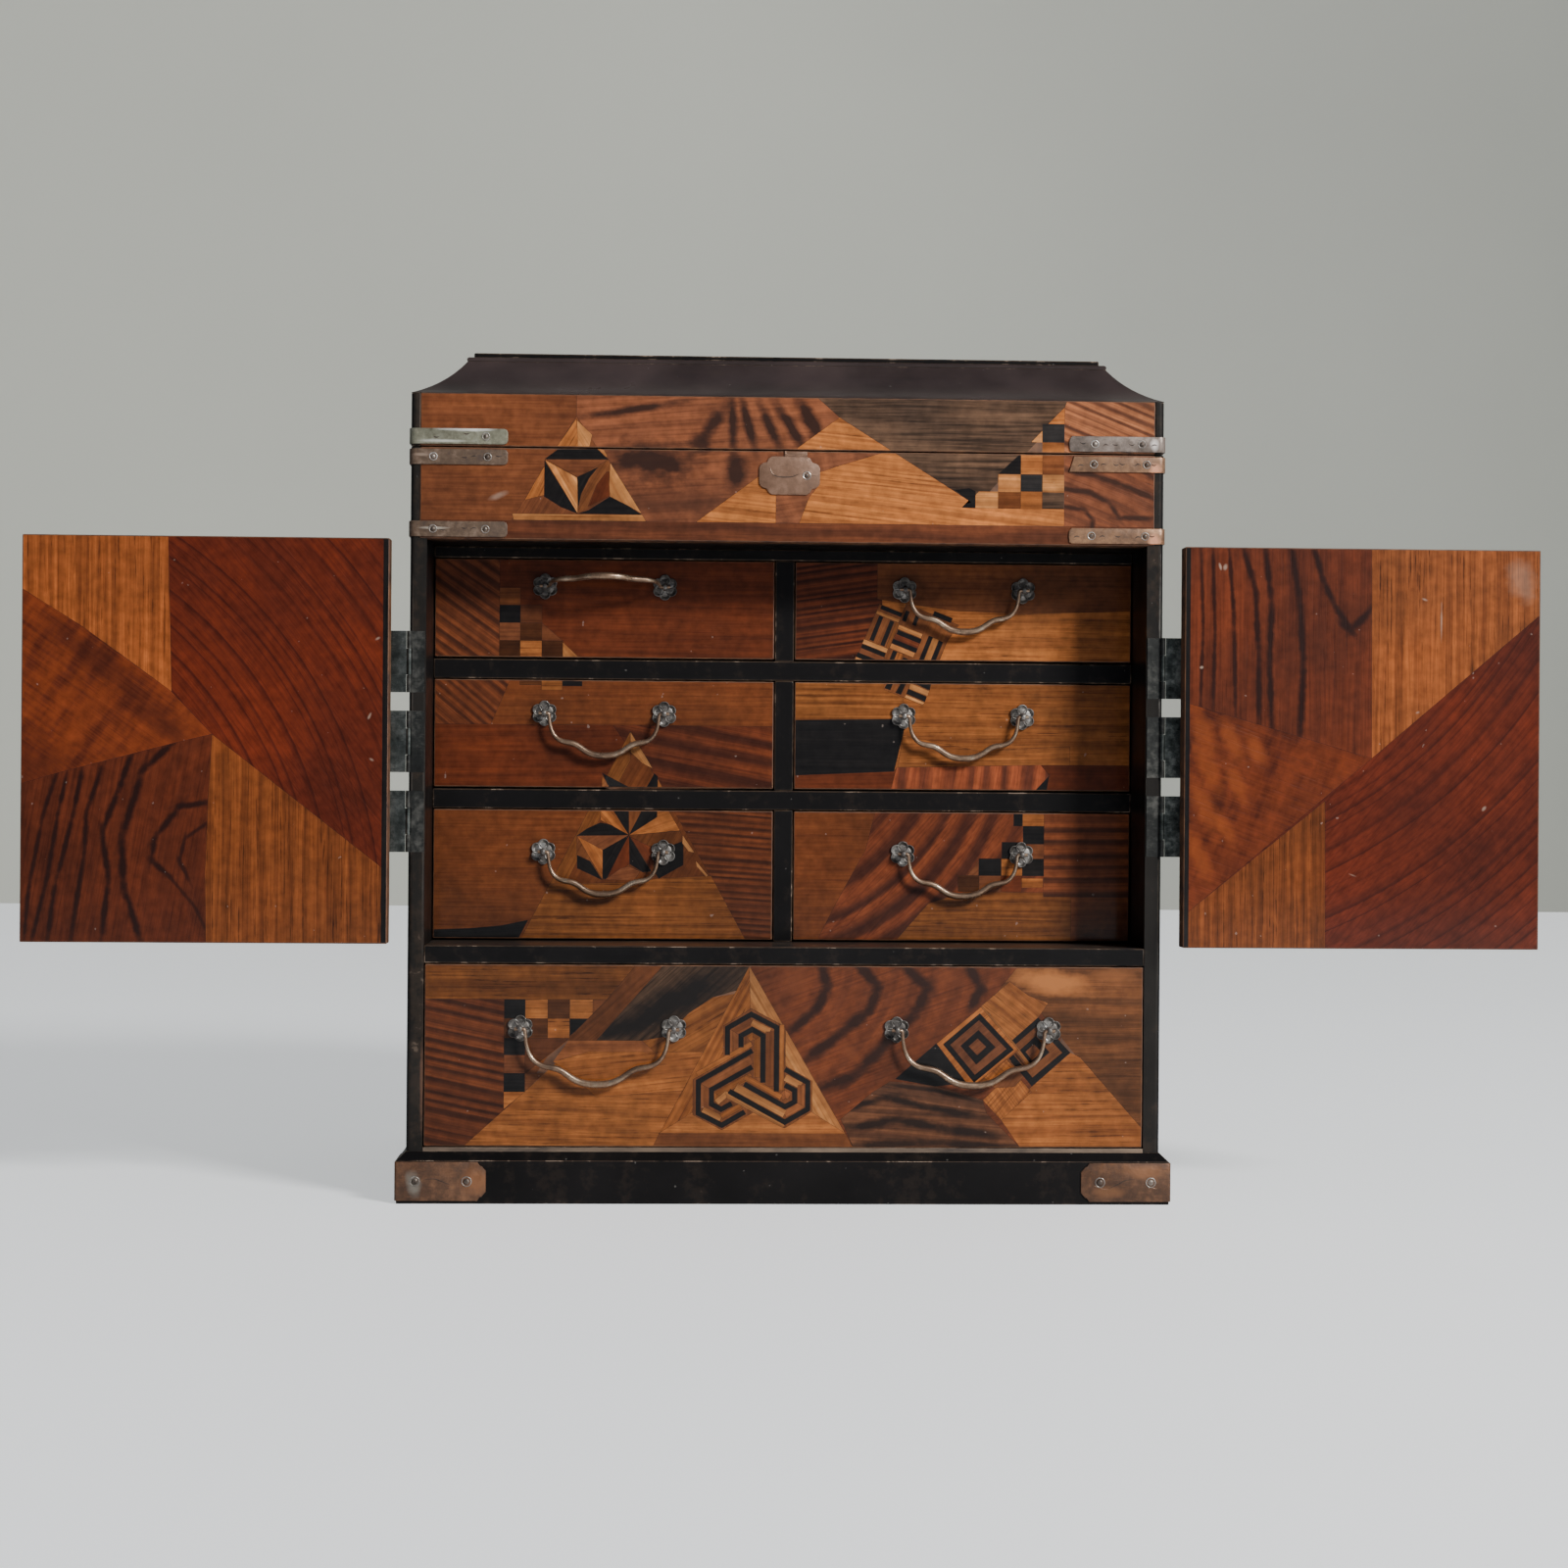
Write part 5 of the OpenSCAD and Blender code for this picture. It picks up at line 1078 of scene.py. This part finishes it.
BOARD = (BLACK, BLACK_WORN)
for name in ("left_side", "right_side"):
    eased(name, *BOARD, BOARD_EDGE, edge=0.5, limit=50, facing=FORWARD)
eased("lid_walls", *BOARD, BOARD_EDGE, edge=0.45, facing=FORWARD)
eased("till_floor", *BOARD, INSIDE, edge=0.3, facing=UP)
eased("bottom_board", *BOARD, PALE_EDGE, edge=0.3, facing=FORWARD)
for name in ("upper_shelf", "lower_shelf", "middle_shelf"):
    eased(name, *BOARD, SHELF_TOP_WEAR_AND_SHEEN, edge=0.45, facing=UP)
for name in ("back_panel", "head_rail", "partition"):
    eased(name, *BOARD, edge=0.45)
eased("plinth_rails", *BOARD, edge=0.6)
eased("lid_cove", BLACK_GLOSS, BLACK_WORN, edge=0.25, limit=50)
eased("lid_top", *BOARD, edge=0.5)
for name in NODES:
    if name.endswith("_box"):
        eased(name, INSIDE, edge=0.4)
for name in ("fixed_hinge_leaves", "hinge_pins", "left_door_leaves", "right_door_leaves", "lid_hinge_leaves"):
    eased(name, LEAF_IRON if name == "fixed_hinge_leaves" else HINGE_IRON, edge=0.12, limit=50)


# Beaten sheet metal: straps, plinth plates and the lock plate

# In mm: the front plane, the sheet's thickness, the outer face of the sides, and how far the plinth stands out
FRONT, SHEET, SIDE, PLINTH_OUT = -102.8, 0.7, 150, 3.4
STRAP_SIDE, PLINTH_SIDE, PLINTH_FRONT = SIDE + SHEET, SIDE + PLINTH_OUT + SHEET, FRONT - PLINTH_OUT
STRAP_H, TILL_LOW, TILL_HIGH, LID_LOW = 6.2, 263.6, 292.2, 300.3


def joined(parts, name):
    drop_all()
    for part in parts:
        part.select_set(True)
    bpy.context.view_layer.objects.active = parts[0]
    bpy.ops.object.join()
    return settle(bpy.context.object, name)


def placed(pattern, spot, turn=(0, 0, 0)):
    """A copy of a small piece, set down at a spot in mm."""
    take(pattern)
    bpy.ops.object.duplicate()
    twin = bpy.context.object
    twin.location = [c * MM for c in spot]
    twin.rotation_euler = [math.radians(a) for a in turn]
    return settle(twin, "copy")


def push(depth):
    bpy.ops.transform.translate(value=(0, depth * MM, 0))


def drawn(name, line, thick, round_steps, order, steps):
    """A wire drawn through points of x, y, z in mm and a share of its thickness."""
    data = bpy.data.curves.new(name, "CURVE")
    data.dimensions = "3D"
    data.bevel_depth, data.bevel_resolution, data.use_fill_caps = thick * MM, round_steps, True
    path = data.splines.new("NURBS")
    path.points.add(len(line) - 1)
    path.order_u, path.use_endpoint_u, path.resolution_u = order, True, steps
    for point, (x, y, z, share) in zip(path.points, line):
        point.co = (x * MM, y * MM, z * MM, 1)
        point.radius = share
    wire = bpy.data.objects.new(name, data)
    bpy.context.collection.objects.link(wire)
    take(wire)
    bpy.ops.object.convert(target="MESH")
    return bpy.context.object


def beaten_sheet(outline, back, finish, edge_finish, rim=0.17):
    """Sheet cut to an outline of x and z in mm, with its front edge filed round."""
    drop_all()
    bpy.ops.mesh.primitive_circle_add(vertices=len(outline), radius=0.01, fill_type="NGON")
    sheet = bpy.context.object
    mesh = open_mesh(sheet)
    for v, (x, z) in zip(mesh.verts, outline):
        v.co = (x * MM, back * MM, z * MM)
    bpy.ops.mesh.extrude_region_move()
    push(-SHEET)
    pick()
    bpy.ops.mesh.normals_make_consistent(inside=False)
    pick("DESELECT", "EDGE")
    mesh = bmesh.from_edit_mesh(sheet.data)
    for e in mesh.edges:
        e.select_set(all(v.co.y < (back - SHEET / 2) * MM for v in e.verts))
    bpy.ops.mesh.bevel(offset=rim * MM, segments=2, affect="EDGES", material=1, clamp_overlap=True)
    close_mesh()
    give(sheet, finish, edge_finish)
    return settle(sheet, "sheet")


def fold_corner(sheet, corner, front, radius, side):
    """Folds a flat sheet, whose back lies at y = 0, round a front corner."""
    start, bend, creases = corner - radius, radius * QUARTER, 8
    open_mesh(sheet)
    for k in range(creases + 1):
        pick()
        bpy.ops.mesh.bisect(plane_co=((start + bend * k / creases) * MM, 0, 0), plane_no=(1, 0, 0), threshold=1e-7)
    mesh = bmesh.from_edit_mesh(sheet.data)
    for v in mesh.verts:
        x, deep = v.co.x / MM, -v.co.y / MM
        past = max(0.0, min(x - start, bend)) / radius
        reach = radius + deep
        x_new = min(x, start) + reach * math.sin(past)
        y_new = front + radius - reach * math.cos(past) + max(0.0, x - start - bend)
        v.co = (side * x_new * MM, y_new * MM, v.co.z)
    if side < 0:
        pick()
        bpy.ops.mesh.flip_normals()
    close_mesh()
    smooth(sheet)
    return sheet


def dome(radius, height, ring):
    """A round nail head with a beaten ring, facing the viewer at the origin."""
    drop_all()
    bpy.ops.mesh.primitive_uv_sphere_add(segments=18, ring_count=10, radius=radius * MM)
    head = bpy.context.object
    head.scale = (1, height / radius, 1)
    bpy.ops.mesh.primitive_torus_add(major_segments=22, minor_segments=8, major_radius=ring * MM,
                                     minor_radius=0.24 * MM, rotation=(QUARTER, 0, 0))
    band = bpy.context.object
    band.scale = (1, 1, 0.9)
    give(head, NAIL_RING)
    give(band, NAIL)
    head = joined([rubbed(head, 0.8, -0.3), rubbed(band, 0.7)], "nail")
    open_mesh(head, "VERT")
    bpy.ops.mesh.bisect(plane_co=(0, 0.1 * MM, 0), plane_no=(0, 1, 0), clear_outer=True, use_fill=True)
    close_mesh()
    smooth(head, 60)
    return head


def chased(front, *points, width=0.17, finish=CHASED):
    """A chased line, drawn as a thin thread let into the face of the metal and thick at its middle."""
    last = len(points) - 1
    line = drawn("chased", [(x, front + width * 0.45, z, 0.5 + min(k, last - k) / last)
                            for k, (x, z) in enumerate(points)], width, 1, 3, 4)
    give(line, finish)
    return settle(line, "chased")


def punch_mark(front, x, z, lean):
    """A v-shaped mark: a dark cut and the burr thrown up beside it."""
    v = [(x - 1.2, z + 0.65 * lean), (x, z - 0.6 * lean), (x + 1.2, z + 0.4 * lean)]
    burr = [(a + 0.3, b - 0.34) for a, b in v[:2]]
    return [chased(front, *v, width=0.45), chased(front, *burr, width=0.24, finish=COPPER)]


def strap(side, z, tip, finish, nails, marks):
    """A strap round a front corner, cut to a tip. Places of nails and marks are measured from the corner."""
    x0, top, middle = STRAP_SIDE - 39, z + STRAP_H, z + STRAP_H / 2
    radius, face = 2, FRONT - SHEET
    far = SIDE - radius + radius * QUARTER + 23.3
    ends = {"round": [(x0 + 1.6, z), (x0 + 0.5, z + 0.4), (x0, z + 1.5), (x0, top - 1.5), (x0 + 0.5, top - 0.4),
                      (x0 + 1.6, top)],
            "clipped": [(x0 + 1.4, z), (x0 + 0.3, z + 0.5), (x0, z + 3.2), (x0 + 0.2, top - 1.2), (x0 + 1.2, top)],
            "slanted": [(x0, z), (x0 + 2, top)]}
    sheet = beaten_sheet([(far, top), (far, z)] + ends[tip], 0, finish, SILVER if finish is GREY_COPPER else COPPER)
    parts = [fold_corner(sheet, SIDE, FRONT, radius, side)]
    for from_corner in nails:
        parts.append(placed(NAIL_HEAD, (side * (STRAP_SIDE - from_corner), face, middle)))
    parts.append(placed(NAIL_HEAD, (side * STRAP_SIDE, face + 18.2, middle), (0, 0, 90 * side)))
    for from_corner, lift, lean in marks:
        parts += punch_mark(face, side * (STRAP_SIDE - from_corner), middle + lift, lean)
    return parts


def corner_straps(name, *rows):
    parts = [part for row in rows for part in strap(*row)]
    fit(joined(parts, name + "_finished"), name)


def plinth_plates():
    """Corner plates whose inner ends are a tongue between two small steps."""
    z0, z1, x0, radius = 1.2, 16.6, PLINTH_SIDE - 36, 0.4
    corner = SIDE + PLINTH_OUT
    far = corner - radius + radius * QUARTER + 28.9
    steps = ((3.4, 0), (2.3, 1.5), (1.7, 1.6), (0, 3.6))
    outline = [(x0 + a, z0 + b) for a, b in steps] + [(x0 + a, z1 - b) for a, b in reversed(steps)]
    outline += [(far - a, z1 - b) for a, b in steps] + [(far - a, z0 + b) for a, b in reversed(steps)]
    plates = [fold_corner(beaten_sheet(outline, 0, PLATE_COPPER, COPPER), corner, PLINTH_FRONT, radius, side)
              for side in (-1, 1)]
    face, x = PLINTH_FRONT - SHEET, PLINTH_SIDE
    plates += [chased(face, (x - 25.3, 6.4), (x - 21.4, 8.0), (x - 18.3, 10.1), (x - 13.7, 10.4), width=0.26),
               chased(face, (x - 8.6, 7.3), (x - 6.6, 6.4), (x - 5.3, 6.5), width=0.24, finish=COPPER),
               chased(face, (x - 31, 7.8), (x - 28, 6.0), (x - 25, 6.3), width=0.24, finish=COPPER),
               chased(face, (-x + 11, 9.4), (-x + 15, 10.4), (-x + 19, 8.8), (-x + 23, 7.2), width=0.26)]
    fit(joined(plates, "plinth_corner_plates_finished"), "plinth_corner_plates")


def lock():
    """The lock plate, its corners nibbed, with a small framed tab at its top edge."""
    nib = ((5.3, 0), (3.9, 0.8), (3.1, 2.3), (1.7, 2.7), (0.5, 3.6), (0, 4.6))
    x1, z0, z1, face = 12.15, 281.7, 297.0, FRONT - SHEET
    corner = [(x1 - a, z1 - b) for a, b in nib]
    outline = corner + [(x, z0 + z1 - z) for x, z in reversed(corner)]
    outline += [(-x, z0 + z1 - z) for x, z in corner] + [(-x, z) for x, z in reversed(corner)]
    tab = [(-2.1, 296.8), (7.1, 296.8), (7.1, 299.1), (-2.1, 299.1)]
    parts = [beaten_sheet(shape, FRONT, LOCK_COPPER, COPPER, 0.3) for shape in (outline, tab)]
    parts += [chased(face, (-1.7, 299), (-1.5, 297.5), (2, 297.3), (6, 297.4), (6.6, 299), width=0.2, finish=COPPER),
              chased(face, (-8, 292.6), (-7.6, 290.4), (-5.6, 289.0), (-2.4, 288.6), (1.2, 288.8), (3.4, 289.9),
                     (5.6, 290.2), width=0.26),
              chased(face, (-7.8, 292.8), (-7.5, 290.9), (-6.0, 289.4), width=0.15, finish=COPPER),
              chased(face, (-1.7, 294), (-1.1, 293), (-0.6, 294.2), width=0.12),
              placed(NAIL_HEAD, (6.9, face, 289.4)),
              chased(face, (8.2, 289.4), (10, 289.2), (11.6, 289.3))]
    made = joined(parts, "lock_plate_finished")
    smooth(made)
    fit(made, "lock_plate")


def loose_nails():
    """The nails of the plinth plates and of the lid's hinges."""
    big, face, z, hinge_x = dome(1.3, 0.6, 1.85), PLINTH_FRONT - SHEET, 8.9, 95
    parts = [placed(big, (side * (PLINTH_SIDE - 36 * part), face, z)) for side in (-1, 1) for part in (0.225, 0.79)]
    parts += [placed(big, (side * PLINTH_SIDE, PLINTH_FRONT + 17.4, z), (0, 0, 90 * side)) for side in (-1, 1)]
    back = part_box("fixing_nails")[1][1] / MM
    parts += [placed(NAIL_HEAD, (side * hinge_x + end * 10, back - 0.5, 290), (0, 0, 180))
              for side in (-1, 1) for end in (-1, 1)]
    bpy.data.objects.remove(big)
    fit(joined(parts, "fixing_nails_finished"), "fixing_nails")


NAIL_HEAD = dome(0.9, 0.6, 1.45)
corner_straps(
    "lid_corner_straps",
    (-1, LID_LOW, "round", GREY_COPPER, (30.3,), ((10.7, -0.5, 0.7), (22.6, 0.9, 0.6))),
    (1, LID_LOW, "clipped", PINK_COPPER, (28.7, 9.8),
     ((33.6, 0.1, 1), (24.4, -0.2, -1), (20.5, -0.4, 0.6), (14, -0.3, 1), (4.9, -0.1, -1))))
corner_straps(
    "till_corner_straps",
    (-1, TILL_HIGH, "round", BROWN_COPPER, (9.6, 31), ((21.9, -0.4, 0.6), (25.6, 0.3, -0.6), (35.4, 0.2, 0.6))),
    (-1, TILL_LOW, "round", BROWN_COPPER, (9.6, 30.3), ((13.4, -0.5, 0.6), (22, 0.2, 0.6), (25.8, 0.4, -0.6))),
    (1, TILL_HIGH, "slanted", TAN_COPPER, (29.1, 7.8),
     ((34.4, -0.3, -1), (25.3, 0.1, -1), (20.2, -0.3, 1), (17.7, 0, 1), (11.4, 0.2, -1), (5, -0.2, 1))),
    (1, TILL_LOW, "clipped", TAN_COPPER, (29.9, 8.3),
     ((35.8, -0.2, -1), (25.6, 0, -1), (19.3, -0.3, 1), (11.2, -0.2, -1), (5.6, -0.1, 1))))
plinth_plates()
lock()
loose_nails()
bpy.data.objects.remove(NAIL_HEAD)


# Handles

EYE_OUT = 4.6


def petal():
    """A petal is a small dish with a rolled rim, its hollow towards the viewer."""
    drop_all()
    bpy.ops.mesh.primitive_circle_add(vertices=18, radius=2.3 * MM, fill_type="NGON", rotation=(QUARTER, 0, 0))
    leaf = settle(bpy.context.object, "petal")
    open_mesh(leaf)
    bpy.ops.mesh.extrude_region_move()
    push(-0.75)
    for inward, lift in ((0.12, -0.3), (0.2, 0.02), (0.34, 0.36), (0.62, 0.26), (0.6, 0.08)):
        bpy.ops.mesh.inset(thickness=inward * MM)
        push(lift)
    bpy.ops.mesh.poke()
    pick()
    bpy.ops.mesh.normals_make_consistent(inside=False)
    close_mesh()
    tool(leaf, "SUBSURF", levels=1, render_levels=1)
    return leaf


def spun(sides, out, radius1, radius2, depth):
    """A tapered turning that points at the viewer, its middle a little way out from the board."""
    bpy.ops.mesh.primitive_cone_add(vertices=sides, radius1=radius1 * MM, radius2=radius2 * MM, depth=depth * MM,
                                    location=(0, -out * MM, 0), rotation=(QUARTER, 0, 0))
    return bpy.context.object


def rosette():
    """Six petals round a boss, and the post whose eye holds the bail, facing the viewer at the origin."""
    blank = petal()
    leaf = placed(blank, (3.15, 0.1, 0), (0, 0, -9))
    parts = [placed(leaf, (0, -0.06 * (k % 2), 0), (0, 60 * k + 90, 0)) for k in range(6)]
    bpy.data.objects.remove(leaf)
    bpy.data.objects.remove(blank)
    drop_all()
    bpy.ops.mesh.primitive_uv_sphere_add(segments=18, ring_count=10, radius=1.6 * MM, location=(0, -0.4 * MM, 0))
    boss = bpy.context.object
    boss.scale = (1, 0.6, 1)
    flower = joined(parts + [boss, spun(24, 0.3, 4.4, 3.2, 0.6)], "flower")
    drop_all()
    post = spun(16, 1.9, 1.3, 0.85, 3.2)
    bpy.ops.mesh.primitive_torus_add(major_segments=24, minor_segments=10, major_radius=1.2 * MM,
                                     minor_radius=0.42 * MM, location=(0, -EYE_OUT * MM, 0),
                                     rotation=(0, QUARTER, 0))
    eye = bpy.context.object
    eye.scale = (1, 1, 2.0)
    eye = joined([eye, post], "eye")
    for part in (flower, eye):
        give(part, IRON)
        smooth(part, 55)
    return rubbed(joined([flower, eye], "rosette"), 1.5, -0.12)


def mounts(name, spots):
    """A rosette at each post. On the side boards it looks outwards."""
    fit(joined([placed(ROSETTE, spot, (0, 0, turn)) for spot, turn in spots], name + "_finished"), name)


def bail(name, middle, span, drop, lift=0, turn=0):
    """A wavy bail, thin at its eyes, with two shoulders and a thick belly."""
    half, eye = span / 2 - 2.15, 0.74
    wave = [(0, -1), (0.09, -1), (0.24, -0.965), (0.37, -0.87), (0.5, -0.735), (0.62, -0.695), (0.76, -0.675),
            (0.88, -0.585), (0.955, -0.43), (0.99, -0.25), (1, -0.1)]
    right = [(half * a, 0, drop * b, eye + 0.74 * (1 - a) ** 0.8 + 0.18 * math.exp(-((a - 0.66) / 0.14) ** 2))
             for a, b in wave]
    right += [(half + 0.15, 0, -0.1, eye), (half + 1.0, 0, 0, eye), (half + 3, 0, 0, eye), (half + 4.3, 0, 0, 0.68)]
    wire = drawn(name, [(-x, y, z, r) for x, y, z, r in reversed(right[1:])] + right, 1, 3, 4, 3)
    wire.rotation_euler = (-math.radians(lift), 0, math.radians(turn))
    wire.location = [c * MM for c in middle]
    settle(wire, name + "_finished")
    give(wire, BAIL_METAL)
    smooth(wire, 60)
    fit(rubbed(wire, 0.9, -0.1), name)


def handles():
    # In mm: the small drawers' face, and each kind's post spacing, place and drop
    face, small, wide = -66.8, 48.9, 60.8
    column_x, wide_x, wide_z, side_y, side_z, drop, wide_drop = 73.65, 74.7, 69.2, 3.2, 258.1, 17.2, 21.8
    ends = (-1, 1)
    for row, z in (("top", 246.8), ("middle", 194.9), ("lower", 138.3)):
        for col, x in (("left", -column_x), ("right", column_x)):
            mounts("%s_%s_mounts" % (row, col), [((x + e * small / 2, face, z), 0) for e in ends])
            raised = 100 if (row, col) == ("top", "left") else 0
            bail("%s_%s_bail" % (row, col), (x, face - EYE_OUT, z), small, drop, raised)
    mounts("wide_mounts", [((s * wide_x + e * wide / 2, FRONT, wide_z), 0) for s in ends for e in ends])
    mounts("side_handle_mounts", [((s * SIDE, side_y + e * small / 2, side_z), 90 * s) for s in ends for e in ends])
    for s, col in zip(ends, ("left", "right")):
        bail("wide_%s_bail" % col, (s * wide_x, FRONT - EYE_OUT, wide_z), wide, wide_drop)
        bail(col + "_side_bail", (s * (SIDE + EYE_OUT), side_y, side_z), small, drop, 0, 90)


ROSETTE = rosette()
handles()
bpy.data.objects.remove(ROSETTE)


# The room

def backdrop(name, place, turn, size, finish, scale, low, high, rough):
    """A large flat sheet in one pale, slightly cloudy colour."""
    drop_all()
    bpy.ops.mesh.primitive_plane_add(size=1, location=(0, 0, 0))
    sheet = bpy.context.object
    sheet.scale, sheet.rotation_euler, sheet.location = (*size, 1), (turn, 0, 0), place
    settle(sheet, name)
    f = Finish(finish)
    f.surface(Base_Color=f.ramp(f.noise(f.at, scale), (0.3, low), (0.7, high)), Roughness=rough)
    give(sheet, f.mat)
    return f


def seen_paler(f, tint, amount):
    """Lifts a backdrop for the camera, with no more light on the chest."""
    seen = f.node("ShaderNodeLightPath").outputs["Is Camera Ray"]
    f.surface(Emission_Color=tint, Emission_Strength=f.times(seen, amount))


def floor_and_wall():
    """A pale floor, and a grey-green wall well behind the chest, which the camera sees lifted unevenly across its
    width, most at the left: painted light on the wall.
    """
    f = backdrop("floor", (0, 0, 0), 0, (12, 12), "pale_table", 1.5, (0.80, 0.81, 0.82), (0.86, 0.865, 0.87), 0.6)
    seen_paler(f, (0.98, 1.0, 1.0), 0.64)
    f = backdrop("wall", (0, 2.6, 3.4), QUARTER, (14, 7), "grey_green_wall", 1.2, (0.54, 0.54, 0.46),
                 (0.60, 0.60, 0.51), 0.8)
    across = f.math("MULTIPLY_ADD", f.node("ShaderNodeSeparateXYZ", {0: f.at}).outputs[0], 0.25, 0.5)
    seen_paler(f, (1.0, 1.0, 0.88), f.ramp(across, (0.1, 0.29), (0.5, 0.22), (0.85, 0.01), (0.98, 0.24)))


def lights():
    """One soft lamp from the front right, and a cool room that the camera sees as pale grey."""
    drop_all()
    bpy.ops.object.light_add(type="AREA", location=(1.67, -1.99, 1.57))
    key = bpy.context.object
    key.data.shape = "RECTANGLE"
    key.data.size, key.data.size_y, key.data.energy = 0.7, 0.55, 106
    aim = Vector((0, 0, 0.17)) - key.location
    key.rotation_euler = aim.to_track_quat("-Z", "Y").to_euler()
    world = bpy.data.worlds.new("room")
    bpy.context.scene.world = world
    world.use_nodes = True
    tree = world.node_tree
    seen = tree.nodes.new("ShaderNodeLightPath")
    mix = tree.nodes.new("ShaderNodeMix")
    mix.data_type = "RGBA"
    cool, pale = [c for c in mix.inputs if c.type == "RGBA"]
    cool.default_value = (0.080, 0.1015, 0.145, 1)
    pale.default_value = (0.44, 0.44, 0.40, 1)
    tree.links.new(seen.outputs["Is Camera Ray"], mix.inputs[0])
    tree.links.new([c for c in mix.outputs if c.type == "RGBA"][0], tree.nodes["Background"].inputs["Color"])


def camera():
    drop_all()
    bpy.ops.object.camera_add(location=(-0.046942, -1.223025, 0.166135))
    cam = bpy.context.object
    cam.rotation_euler = [math.radians(a) for a in (90.02854, -0.42996, -2.33525)]
    cam.data.sensor_width, cam.data.lens = 36, 64.708
    bpy.context.scene.camera = cam


floor_and_wall()
lights()
camera()
